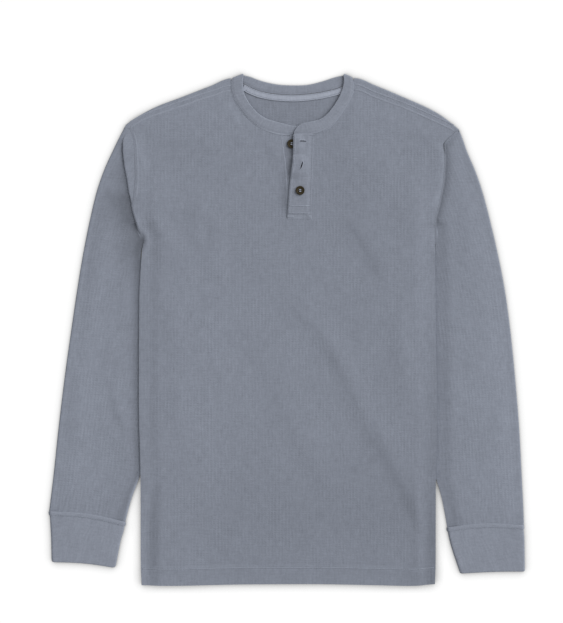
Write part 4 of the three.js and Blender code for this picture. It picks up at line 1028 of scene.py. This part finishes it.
def over_placket():
    slit_x = [edge for across, _ in SLITS.values() for edge in across]
    slit_y = [edge for _, along in SLITS.values() for edge in along]
    s = np.concatenate([EDGE_STEPS, grid_lines(1.9, 34, 0.7, slit_x)])
    y = np.concatenate([PLACKET_BOTTOM + EDGE_STEPS, grid_lines(162.2, PLACKET_TOP, 0.8, slit_y)])
    s, y = np.meshgrid(s, y)
    width = placket_right(y) - placket_left(y)
    beyond = smooth(20, 34, s)
    s = s + beyond * (width - 34)
    top, bottom = over_faces(s, y)
    moved_s, moved_y = gaping(s, y)
    x = placket_left(moved_y) + moved_s
    thickness = round_edge(top - bottom, np.minimum(s, np.minimum(width - s, y - PLACKET_BOTTOM)))
    middle = np.stack([x, moved_y, bottom + thickness / 2], -1)
    # The strip is a little darker all over, painted shade darkens its right part, whose slope faces the lamp, painted
    # light brightens the curled left edge, and a lighter bar runs along the bottom.
    bar = smooth(6.4, 5.2, y - PLACKET_BOTTOM)
    shade = 0.04 + 0.07 * smooth(18, 32, s) - 0.07 * np.exp(-((s / 1.8) ** 2)) - 0.12 * bar
    normal = grid_normals(middle)
    kept = np.ones((s.shape[0] - 1, s.shape[1] - 1), bool)
    cell_s = (s[:-1, :-1] + s[:-1, 1:]) / 2
    cell_y = (y[:-1, :-1] + y[1:, :-1]) / 2
    for (s0, s1), (y0, y1) in SLITS.values():
        kept &= ~((cell_s > s0) & (cell_s < s1) & (cell_y > y0) & (cell_y < y1))
    return middle, normal, thickness, np.stack([x, y], -1), kept, shade


def under_placket():
    y, part = np.meshgrid(np.linspace(163 + SEAM, PLACKET_TOP, 90), np.linspace(0, 1, 28), indexing="ij")
    x = mix(slot_left(y) + SEAM, slot_right(y) - SEAM, part)
    middle = np.stack([x, y, np.full_like(x, UNDER_Z)], -1)
    normal = np.broadcast_to(np.array([0.0, 0, 1]), middle.shape)
    return middle, normal, np.full(x.shape, 2.2), np.stack([x, y], -1)


*over_grid, over_shade = over_placket()
placket_over = add(shell("placket_over_rib", *over_grid, shade=over_shade), "placket_over")
under_grid = under_placket()
# Painted shadow on the under placket beside the over placket's left edge, with painted light right at that edge.
under_shade = placket_gap_shadow(under_grid[0][..., 0], under_grid[0][..., 1])
placket_under = add(shell("placket_under_rib", *under_grid, shade=under_shade), "placket_under")

# %% [markdown]
# ## Buttons
# Each button is a turned disc with a rim, a dish and four thread holes.

# %% Buttons


def button_disc():
    """Polar grid: the top follows the rim and the dish and drops into four holes, and the underside is
    flat with a rounded edge."""
    rim = 1.6
    radius = np.concatenate([np.linspace(0, 4.6, 36), np.linspace(4.75, 6.2, 9), [6.35, 6.45, 6.5]])
    angle = np.linspace(0, 2 * np.pi, 96, endpoint=False)
    r, a = np.meshgrid(radius, angle, indexing="ij")
    x, y = r * np.cos(a), r * np.sin(a)
    dish = 0.7 * smooth(BUTTON_RADIUS - rim + 0.1, BUTTON_RADIUS - rim - 0.8, r)
    edge = 0.45 * smooth(BUTTON_RADIUS - 0.5, BUTTON_RADIUS, r) ** 2
    top = BUTTON_HEIGHT - dish - edge
    for hole_x, hole_y in ((1.5, 1.5), (-1.5, 1.5), (-1.5, -1.5), (1.5, -1.5)):
        top = top - 1.3 * smooth(1.0, 0.8, np.hypot(x - hole_x, y - hole_y))
    bottom = 0.5 * smooth(BUTTON_RADIUS - 0.6, BUTTON_RADIUS, r) ** 2
    middle = np.stack([x, y, (top + bottom) / 2], -1)
    normal = np.broadcast_to(np.array([0.0, 0, 1]), middle.shape)
    return middle, normal, top - bottom, np.stack([x, y], -1)


def disc_object(name, place):
    middle, normal, thickness, cloth_map = button_disc()
    cloth_map = np.concatenate([cloth_map, cloth_map[:, :1]], 1)
    piece = shell(name, middle + place, normal, thickness, cloth_map, ring=True)
    weld = bmesh.new()
    weld.from_mesh(piece.data)
    bmesh.ops.remove_doubles(weld, verts=weld.verts, dist=1e-7)
    weld.to_mesh(piece.data)
    weld.free()
    return piece


UNDER_TOP = UNDER_Z + 1.1 + SEAM
OVER_TOP = OVER_Z + DOUBLE / 2 + SEAM
for name, (x, y, on_top) in BUTTONS.items():
    place = np.array([x, y, OVER_TOP if on_top else UNDER_TOP])
    add(disc_object(f"button_disc_{name}", place), f"button_{name}")

# %% [markdown]
# ## Sewing
# Garment dye wears pale where a seam stands proud, and most seams are painted lighter as well, a painted highlight that
# also covers the shade on a ridge's flank, so the sewing shows as thin light lines; the fillers in the armhole gaps are
# painted darker instead, as painted shade. A seam is a low ridge, because the turned edges lie beneath it, and a row of
# stitches is many small spindles of thread. Both follow a line on the panel, and every row is one joined mesh of
# arrays.

# %% Ridges and stitches


def ridge(path, normal, across, width, height, shade, ring=False, sink=0.25):
    """Low half-elliptic ridge along a path: h sqrt(1 - (2o / w)^2) at the offset o from its middle. It
    reaches down by sink, to fill the gap of a seam."""
    offset = np.sin(np.linspace(-np.pi / 2, np.pi / 2, 9))[:, None]
    profile = np.sqrt(np.clip(1 - offset**2, 0, 1))
    along = np.append(0, np.cumsum(np.linalg.norm(np.diff(path, axis=0), axis=1)))
    taper = 1.0 if ring else smooth(0, width, along) * smooth(0, width, along[-1] - along)
    rise = height * profile * np.sqrt(taper) + 0.05
    middle = path[None] + across[None] * (offset * width / 2)[..., None]
    middle = middle + normal[None] * ((rise - sink) / 2)[..., None]
    normals = np.broadcast_to(normal[None], middle.shape)
    if ring:
        along = np.append(along, along[-1] + np.linalg.norm(path[0] - path[-1]))
    cloth_map = np.stack(np.broadcast_arrays(offset * width / 2, along[None]), -1)
    return wall(middle, normals, rise + sink, cloth_map, ring=ring, shade=shade)


def stitches(path, normal, shade, pitch=3.0, length=2.3, radius=0.3):
    """Spindles of thread along a path, each with five rings of six points and closed ends."""
    distance = np.append(0, np.cumsum(np.linalg.norm(np.diff(path, axis=0), axis=1)))
    places = np.arange(pitch / 2, distance[-1], pitch)
    if len(places) < 1:
        places = np.array([distance[-1] / 2])

    def at(values, where):
        return np.stack([np.interp(where, distance, values[:, k]) for k in range(3)], -1)

    centre, up = at(path, places), at(normal, places)
    tangent = at(path, places + 0.3) - at(path, places - 0.3)
    tangent /= np.linalg.norm(tangent, axis=1, keepdims=True)
    across = np.cross(up, tangent)
    along = np.array([-1, -0.72, 0, 0.72, 1]) * length / 2
    size = np.array([0.2, 0.8, 1, 0.8, 0.2]) * radius
    height = np.array([-0.1, 0.12, 0.22, 0.12, -0.1])
    angle = np.linspace(0, 2 * np.pi, 6, endpoint=False)
    side = across[:, None] * np.cos(angle)[:, None] + up[:, None] * np.sin(angle)[:, None]
    spine = (centre[:, None] + tangent[:, None] * along[:, None] + up[:, None] * height[:, None])[:, :, None]
    vertices = spine + side[:, None] * size[:, None, None]
    index = np.arange(30).reshape(5, 6)
    turned = np.roll(index, -1, axis=1)
    tube = np.stack([index[:-1], turned[:-1], turned[1:], index[1:]], -1).reshape(-1, 4)
    caps = np.array([[3, 2, 1, 0], [5, 4, 3, 0], [24, 25, 26, 27], [24, 27, 28, 29]])
    faces = (np.concatenate([tube, caps]) + 30 * np.arange(len(places))[:, None, None]).reshape(-1, 4)
    vertices = vertices.reshape(-1, 3)
    return outward(vertices, faces, vertices[faces][..., :2], np.full(len(vertices), shade))


UP = np.array([0.0, 0, 1])


def on_front(points, count, lift=0.0):
    """Line of count points on the front's upper face through a few places, with its normal."""
    path = through(points, count)
    z = front_top(path[:, 0], path[:, 1]) + lift
    return np.column_stack([path, z])


def across_of(path, normal):
    side = np.cross(normal, np.gradient(path, axis=0))
    return side / np.linalg.norm(side, axis=1, keepdims=True)


def sewn(path, width, height, shade, thread=None, sink=0.25, **options):
    """A ridge along a path on an upward face, with a row of stitches on it where thread is given."""
    normal = np.broadcast_to(UP, path.shape)
    parts = [ridge(path, normal, across_of(path, normal), width, height, shade, sink=sink)]
    if thread is not None:
        parts.append(stitches(path + height * UP, normal, thread, **options))
    return parts


SEWING = {}


def add_sewing(name, parts):
    piece = new_object(name, *joined(parts))
    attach(piece, "root")
    SEWING[name] = piece
    print(f"{name}: {len(piece.data.polygons)} faces")
    return piece


# %% Sewing on the front
HEM_STITCH_UP = 24
hem_x = np.linspace(left_edge(-345.0) + 2, right_edge(-345.0) - 2, 160)
hem_path = on_front(np.column_stack([hem_x, hem_line(hem_x) + HEM_STITCH_UP]), 200)
slot_y = np.linspace(281, 166, 60)
slot_edge = on_front(np.column_stack([slot_left(slot_y) - 0.2, slot_y]), 60, lift=-0.05)
add_sewing("front_sewing", sewn(hem_path, 1.8, 0.15, -0.02, thread=-0.08)
           + sewn(slot_edge, 2.4, 0.14, -0.03, sink=1.2))

# %% Sewing on the shoulders
# The seam is turned towards the back, so a ridge lies just above it, and its topstitching shows again near the fold.
# Both ridges are painted lighter, more on the left shoulder than on the right, where the lamp from the right leaves
# them faint: painted light.


def shoulder_path(start, end, offset):
    x = np.linspace(start, end, 80)
    return np.column_stack([x, shoulder_seam(x) + offset, np.full(80, SHOULDER_TOP - 0.05)])


SHOULDER_TOP = SHOULDER_Z + CLOTH / 2
shoulder_rows = []
for start, end, shade in ((-227, -81, -0.09), (98, 242, -0.04)):
    shoulder_rows += sewn(shoulder_path(start, end, 0.6), 3.0, 0.3, shade, sink=0.8)
    shoulder_rows += sewn(shoulder_path(start, end, 8.0), 2.4, 0.25, shade)
add_sewing("shoulder_sewing", shoulder_rows)

# %% Sewing along the armholes
# Each armhole has a seam that fills the gap between the body and the sleeve, and at the shoulder point it runs over the
# fold. These fillers are painted darker, as painted shade where the gap would be in shadow. On the left a row of
# topstitching follows it on the body.
armhole_rows = []
for sleeve, first, last, width, shade in (
        (LEFT_SLEEVE, 0.5, 104, 1.1, 0.25), (LEFT_SLEEVE, 104, 140, 1.6, 0.15), (RIGHT_SLEEVE, 0.5, 20, 1.4, 0.25), (RIGHT_SLEEVE, 20, 150, 1.8, 0.12)):
    y = sleeve["seam_top"] - np.linspace(first, last, 110)
    x = sleeve["edge"](y) + sleeve["side"] * 0.15
    seam = np.column_stack([x, y, front_top(x - sleeve["side"] * 0.3, y) - 0.05])
    armhole_rows += sewn(seam, width, 0.08, shade, sink=1.0)
for sleeve in SLEEVES:
    tip = np.array([[sleeve["armhole_x"] - sleeve["side"], sleeve["seam_top"] + 0.6],
                    [sleeve["outer_line"](sleeve["top"]) - sleeve["side"] * 0.8, sleeve["top"] + 0.5]])
    tip = np.column_stack([through(np.vstack([tip[0], tip.mean(0), tip[1]]), 20), np.full(20, SHOULDER_TOP - 0.1)])
    armhole_rows += sewn(tip, 2.6, 0.05, 0.12, sink=2.6)
y = np.linspace(287, 192, 90)
x = left_edge(y) + 3.6
armhole_rows += sewn(np.column_stack([x, y, front_top(x, y)]), 3.0, 0.2, -0.02)
add_sewing("armhole_sewing", armhole_rows)

# %% Sewing on the neckband and the tape


def band_seam(rows):
    """Line in the gap between the band's seam edge and whatever lies beside it."""
    edge, inner = band_grid[0][rows, 0], band_grid[0][rows, 6]
    out = (edge - inner) / np.linalg.norm(edge - inner, axis=1, keepdims=True)
    x, y, _ = (edge + 0.3 * out).T
    panel = np.maximum(front_top(x, y), SHOULDER_TOP - 0.2)
    panel = mix(panel, OVER_Z + 0.8, smooth(42, 34, x) * smooth(0, 8, x))
    return np.column_stack([x, y, panel + 0.1])


neck_rows = sewn(band_seam(slice(14, 80)), 3.0, 0.35, -0.1, sink=1.6)
neck_rows += sewn(band_seam(slice(len(band_grid[0]) - 80, len(band_grid[0]) - 1)), 2.2, 0.3, -0.08, sink=1.6)
add_sewing("neck_sewing", neck_rows)

tape_top = CLOTH + SEAM + TAPE - 0.02
tape_x = np.linspace(-59, 79, 120)
tape_rows = []
for down in (1.5, 7.6):
    path = np.column_stack([tape_x, neck_back(tape_x) - down, np.full(120, tape_top)])
    tape_rows += sewn(path, 0.9, 0.1, -0.25, thread=-0.25, pitch=2.4, length=1.8, radius=0.22)
add_sewing("tape_sewing", tape_rows)

# %% Sewing on the cuffs
# The ridge goes all round, just above the seam, where the sleeve's edge is gathered into the cuff.
CUFF_RIDGE = 6.6
cuff_rows = []
for name, sleeve in (("left", LEFT_SLEEVE), ("right", RIGHT_SLEEVE)):
    points, normals = cuff_grids[name][0][0], cuff_grids[name][1][0]
    axis = np.gradient(cuff_grids[name][0], axis=0)[2]
    axis = -axis / np.linalg.norm(axis, axis=1, keepdims=True)
    path = points + normals * (DOUBLE / 2 - 0.1) + axis * 0.6
    height = 0.6 + 1.0 * (1 - np.abs(normals[:, 2]))
    cuff_rows.append(ridge(path, normals, axis, CUFF_RIDGE, height, -0.02, ring=True, sink=0.6))
    for down, rise in ((2.3, 0.32), (3.1, 0.1)):
        row = path - axis * down + normals * rise
        cuff_rows.append(stitches(row, normals, -0.12, pitch=2.6, length=2.2, radius=0.24))
add_sewing("cuff_sewing", cuff_rows)

# %% Sewing on the plackets


def placket_row(points, count):
    path = through(points, count)
    return np.column_stack([path, over_faces(path[:, 0] - placket_left(path[:, 1]), path[:, 1])[0]])


rows_y = np.linspace(PLACKET_BOTTOM + 6, PLACKET_TOP - 1, 40)
left_row = placket_row(np.column_stack([placket_left(rows_y) + TOPSTITCH, rows_y]), 90)
right_row = placket_row(np.column_stack([placket_right(rows_y) - TOPSTITCH, rows_y]), 90)
placket_rows = []
for path, height, shade in (
        (left_row, 0.12, 0.0), (right_row, 0.06, 0.06), (placket_row([(3.0, BOX_LOW), (34.4, BOX_LOW)], 30), 0.25, -0.1),
        (placket_row([(3.8, BOX_HIGH), (34.6, BOX_HIGH)], 30), 0.3, -0.14)):
    placket_rows += sewn(path, 1.6, height, shade, thread=shade - 0.06, pitch=2.6, length=2.0, radius=0.22)


def buttonhole(s_range, y_range):
    """Satin-stitched lips round a slit: short threads across its edge, side by side."""
    (s0, s1), (y0, y1) = s_range, y_range
    corners = [(s0, y0), (s1, y0), (s1, y1), (s0, y1), (s0, y0)]
    dense = np.concatenate([np.linspace(a, b, 24)[:-1] for a, b in zip(corners[:-1], corners[1:])])
    centre = np.array([(s0 + s1) / 2, (y0 + y1) / 2])
    away = dense - centre
    away = np.where(np.abs(away) * 2 >= np.array([s1 - s0, y1 - y0]) - 1e-6, np.sign(away), 0.0)
    away /= np.maximum(np.linalg.norm(away, axis=1, keepdims=True), 1)
    s, y = (dense + away * 0.55).T
    z = over_faces(s, y)[0]
    s, y = gaping(s, y)
    path = np.column_stack([placket_left(y) + s, y, z])
    normal = np.broadcast_to(UP, path.shape)
    lips = np.column_stack([away, np.zeros(len(away))])
    return ridge(path, normal, lips, 1.5, 0.35, -0.15, ring=True)


for s_range, y_range in SLITS.values():
    placket_rows.append(buttonhole(s_range, y_range))
add_sewing("placket_sewing", placket_rows)

# %% Thread of the buttons
# Two bars of thread join the holes in pairs. Each bar is three strands side by side.
button_rows = []
for name, (x, y, on_top) in BUTTONS.items():
    top = (OVER_TOP if on_top else UNDER_TOP) + BUTTON_HEIGHT - 0.62
    for side in (-1.5, 1.5):
        for strand in (-0.42, 0, 0.42):
            ends = np.array([[x - 1.7, y + side + strand, top], [x, y + side * 0.8 + strand, top + 0.25],
                             [x + 1.7, y + side + strand, top]])
            bar_path = through(ends, 12)
            button_rows.append(stitches(bar_path, np.broadcast_to(UP, bar_path.shape), -0.5,
                                        pitch=3.4, length=3.5, radius=0.26))
add_sewing("button_thread", button_rows)

# %% [markdown]
# ## Materials
# Each material is a node tree. The knit is read from the cloth map, so it follows the panels and the
# sleeves at its real size: waffle ribs every 4.9 mm and rungs every 3.3 mm.

# %% Node helpers


def node(tree, kind, inputs=(), **settings):
    """New node with its settings and its input values or links."""
    made = tree.nodes.new(kind)
    for key, value in settings.items():
        setattr(made, key, value)
    for key, value in dict(inputs).items():
        if isinstance(value, bpy.types.NodeSocket):
            tree.links.new(value, made.inputs[key])
        else:
            made.inputs[key].default_value = value
    return made


def math_node(tree, operation, first, second=0.0, third=0.0):
    return node(tree, "ShaderNodeMath", {0: first, 1: second, 2: third}, operation=operation).outputs[0]


def new_group(name, inputs, outputs):
    """Shader node group with float, vector and colour sockets, and its two end nodes."""
    kinds = {"value": "NodeSocketFloat", "vector": "NodeSocketVector", "colour": "NodeSocketColor"}
    group = bpy.data.node_groups.new(name, "ShaderNodeTree")
    for label, (kind, default) in inputs.items():
        socket = group.interface.new_socket(label, in_out="INPUT", socket_type=kinds[kind])
        if default is not None:
            socket.default_value = default
    for label, kind in outputs.items():
        group.interface.new_socket(label, in_out="OUTPUT", socket_type=kinds[kind])
    return group, group.nodes.new("NodeGroupInput").outputs, group.nodes.new("NodeGroupOutput").inputs


# %% Waffle and rib patterns


def wave(tree, value, pitch):
    """0.5 + 0.5 cos(2 pi value / pitch)."""
    turns = math_node(tree, "MULTIPLY", value, 2 * math.pi / pitch)
    return math_node(tree, "MULTIPLY_ADD", math_node(tree, "COSINE", turns), 0.5, 0.5)


def waffle_group():
    """Raised ribs along v crossed by lower rungs, both slightly wandering, with sunk cells between."""
    tree, given, result = new_group(
        "waffle knit", {"cloth": ("vector", None)}, {"height": "value"})
    wander = node(tree, "ShaderNodeTexNoise", {"Vector": given["cloth"], "Scale": 90, "Detail": 1.0})
    offset = node(tree, "ShaderNodeVectorMath", {0: wander.outputs["Color"], 1: (0.5, 0.5, 0.5)},
                  operation="SUBTRACT").outputs[0]
    moved = node(tree, "ShaderNodeVectorMath", {0: offset, 1: (0.0022, 0.0022, 0), 2: given["cloth"]},
                 operation="MULTIPLY_ADD").outputs[0]
    parts = node(tree, "ShaderNodeSeparateXYZ", {0: moved}).outputs
    rib = math_node(tree, "POWER", wave(tree, parts[0], 0.0049), 1.2)
    rung = math_node(tree, "MULTIPLY", wave(tree, parts[1], 0.0033), 0.75)
    worn = node(tree, "ShaderNodeTexNoise", {"Vector": given["cloth"], "Scale": 22, "Detail": 2.0})
    clear = node(tree, "ShaderNodeMapRange", {"Value": worn.outputs["Fac"], 1: 0.38, 2: 0.66, 3: 0.15, 4: 1.0})
    knit = math_node(tree, "SUBTRACT", math_node(tree, "SMOOTH_MAX", rib, rung, 0.3), 0.6)
    tree.links.new(math_node(tree, "MULTIPLY_ADD", knit, clear.outputs[0], 0.6), result["height"])
    return tree


def mottle_group():
    """Heathered, worn yarn, around 1: specks, streaks along and across the knit, patches and clouds."""
    tree, given, result = new_group(
        "heathered yarn", {"cloth": ("vector", None), "cloud": ("value", 1.0)}, {"factor": "value"})
    total = 1.0
    for scale, stretch, amount, detail in (
            (430, (1, 1, 1), 0.11, 1.0), (380, (1, 0.2, 1), 0.12, 1.0), (380, (0.2, 1, 1), 0.09, 1.0),
            (95, (1, 0.6, 1), 0.07, 2.0), (24, (1, 0.7, 1), 0.05, 2.0)):
        moved = node(tree, "ShaderNodeVectorMath", {0: given["cloth"], 1: stretch}, operation="MULTIPLY")
        noise = node(tree, "ShaderNodeTexNoise", {"Vector": moved.outputs[0], "Scale": scale, "Detail": detail})
        centred = math_node(tree, "SUBTRACT", noise.outputs["Fac"], 0.5)
        total = math_node(tree, "MULTIPLY_ADD", centred, math_node(tree, "MULTIPLY", given["cloud"], 2 * amount), total)
    tree.links.new(total, result["factor"])
    return tree


WAFFLE = waffle_group()
MOTTLE = mottle_group()


def use_group(tree, group, **inputs):
    made = node(tree, "ShaderNodeGroup", node_tree=group)
    for key, value in inputs.items():
        if isinstance(value, bpy.types.NodeSocket):
            tree.links.new(value, made.inputs[key])
        else:
            made.inputs[key].default_value = value
    return made.outputs


def scaled(tree, colour, factor):
    """A colour socket or value times a factor."""
    return node(tree, "ShaderNodeVectorMath", {0: colour, "Scale": factor}, operation="SCALE").outputs[0]


# %% The cloth materials


def cloth_material(name, base, pattern, depth, shade):
    """Matte knit: pattern height drives bump, and darkens the colour in the knit's sunk cells as painted shade; the
    yarn's mottle drives colour, and so does the shade attribute, with its painted shade and painted light.
    """
    material = bpy.data.materials.new(name)
    material.use_nodes = True
    tree = material.node_tree
    surface = tree.nodes["Principled BSDF"]
    cloth = node(tree, "ShaderNodeUVMap", uv_map="cloth").outputs[0]
    height = pattern(tree, cloth)
    mottle = use_group(tree, MOTTLE, cloth=cloth)["factor"]
    # Painted shade in the sunk cells of the knit: colour follows the pattern's height.
    pit_shade = math_node(tree, "MULTIPLY_ADD", height, shade, 1 - shade / 2)
    # The shade attribute darkens or lightens the colour: painted shade, painted light and paler thread.
    shade = node(tree, "ShaderNodeAttribute", attribute_name="shade").outputs["Fac"]
    tone = math_node(tree, "MULTIPLY", pit_shade, math_node(tree, "SUBTRACT", 1.0, shade))
    colour = scaled(tree, base, math_node(tree, "MULTIPLY", tone, mottle))
    tree.links.new(colour, surface.inputs["Base Color"])
    bump = node(tree, "ShaderNodeBump", {"Height": height, "Distance": depth, "Strength": 0.8})
    tree.links.new(bump.outputs[0], surface.inputs["Normal"])
    surface.inputs["Roughness"].default_value = 0.95
    surface.inputs["Specular IOR Level"].default_value = 0.2
    surface.inputs["Sheen Weight"].default_value = 0.08
    return material


def waffle_height(tree, cloth):
    return use_group(tree, WAFFLE, cloth=cloth)["height"]


def fine_rib_height(tree, cloth):
    parts = node(tree, "ShaderNodeSeparateXYZ", {0: cloth}).outputs
    return wave(tree, parts[0], 0.0016)


WAFFLE_BASE = (0.200, 0.219, 0.264)
RIB_BASE = (0.207, 0.226, 0.272)
TAPE_BASE = (0.302, 0.327, 0.388)
# The last number is how much darker the knit's sunk cells are painted, as painted shade.
waffle = cloth_material("waffle knit", WAFFLE_BASE, waffle_height, 0.00018, 0.038)
rib = cloth_material("fine rib", RIB_BASE, fine_rib_height, 0.00012, 0.015)
tape_cloth = cloth_material("woven tape", TAPE_BASE, fine_rib_height, 0.0001, 0.04)


def button_material():
    material = bpy.data.materials.new("horn resin")
    material.use_nodes = True
    tree = material.node_tree
    surface = tree.nodes["Principled BSDF"]
    place = node(tree, "ShaderNodeTexCoord").outputs["Object"]
    clouds = node(tree, "ShaderNodeTexNoise", {"Vector": place, "Scale": 260, "Detail": 3.0, "Distortion": 1.2})
    ramp = node(tree, "ShaderNodeValToRGB", {"Fac": clouds.outputs["Fac"]})
    ramp.color_ramp.elements[0].color = (0.010, 0.008, 0.004, 1)
    ramp.color_ramp.elements[1].color = (0.05, 0.038, 0.018, 1)
    tree.links.new(ramp.outputs[0], surface.inputs["Base Color"])
    surface.inputs["Roughness"].default_value = 0.5
    surface.inputs["Specular IOR Level"].default_value = 0.15
    return material


SLOT_MATERIALS = {"waffle": waffle, "rib": rib, "tape": tape_cloth, "button": button_material()}
for node_name, piece in PIECES.items():
    kind = "waffle"
    if node_name.startswith(("cuff", "neckband", "placket")):
        kind = "rib"
    elif node_name.startswith("button"):
        kind = "button"
    elif node_name == "neck_tape":
        kind = "tape"
    piece.data.materials.append(SLOT_MATERIALS[kind])
for piece in SEWING.values():
    piece.data.materials.append(rib)

# %% [markdown]
# ## Floor, light and camera
# The photograph is a pale studio picture from straight above, with almost no shadow. A white floor that glows, with a
# painted contact shadow round the shirt, an even white sky and one large soft lamp give the same.

# %% Floor
FLOOR_HALF = 20      # half the floor's width in metres
floor_mesh = bpy.data.meshes.new("floor")
floor_mesh.from_pydata([(-FLOOR_HALF, -FLOOR_HALF, 0), (FLOOR_HALF, -FLOOR_HALF, 0),
                         (FLOOR_HALF, FLOOR_HALF, 0), (-FLOOR_HALF, FLOOR_HALF, 0)], [], [(0, 1, 2, 3)])
floor = bpy.data.objects.new("floor", floor_mesh)
bpy.context.scene.collection.objects.link(floor)
floor.location.z = -0.0002
glowing_floor = bpy.data.materials.new("pale paper")
glowing_floor.use_nodes = True
tree = glowing_floor.node_tree
tree.nodes.remove(tree.nodes["Principled BSDF"])
# The floor is no lamp, yet it glows white; ambient occlusion dims the glow beside the shirt as a painted contact
# shadow.
painted_contact_shadow = node(tree, "ShaderNodeAmbientOcclusion", {"Distance": 0.0155}, samples=12)
glow = node(tree, "ShaderNodeEmission", {
    "Strength": math_node(tree, "MULTIPLY", math_node(tree, "POWER", painted_contact_shadow.outputs["AO"], 1.3), 1.03)})
tree.links.new(glow.outputs[0], tree.nodes["Material Output"].inputs["Surface"])
floor_mesh.materials.append(glowing_floor)

# %% Light
world = bpy.data.worlds.new("studio")
bpy.context.scene.world = world
world.use_nodes = True
world.node_tree.nodes["Background"].inputs["Color"].default_value = (1, 1, 1, 1)
world.node_tree.nodes["Background"].inputs["Strength"].default_value = 0.5

lamp_data = bpy.data.lights.new("soft lamp", "SUN")
lamp_data.energy = 3.0
lamp_data.angle = math.radians(50)
lamp = bpy.data.objects.new("soft lamp", lamp_data)
bpy.context.scene.collection.objects.link(lamp)
LAMP_FROM = Vector((0.80, 0.45, 0.75))
lamp.rotation_euler = (-LAMP_FROM).to_track_quat("-Z", "Y").to_euler()
bpy.context.scene.view_settings.view_transform = "Standard"

# %% Camera
PIXEL = 1.45
IMAGE_WIDTH, IMAGE_HEIGHT = 563, 623
PHOTO_ORIGIN = (286.75, 329.5)   # pixel of the photograph that shows the origin
CAMERA_HEIGHT = 3.0
camera_data = bpy.data.cameras.new("camera")
camera = bpy.data.objects.new("camera", camera_data)
bpy.context.scene.collection.objects.link(camera)
centre_x = (IMAGE_WIDTH / 2 - PHOTO_ORIGIN[0]) * PIXEL * MM
centre_y = (PHOTO_ORIGIN[1] - IMAGE_HEIGHT / 2) * PIXEL * MM
camera.location = (centre_x, centre_y, CAMERA_HEIGHT)
camera_data.sensor_width = 36
camera_data.lens = 36 * (CAMERA_HEIGHT - 0.004) / (IMAGE_HEIGHT * PIXEL * MM)
bpy.context.scene.camera = camera
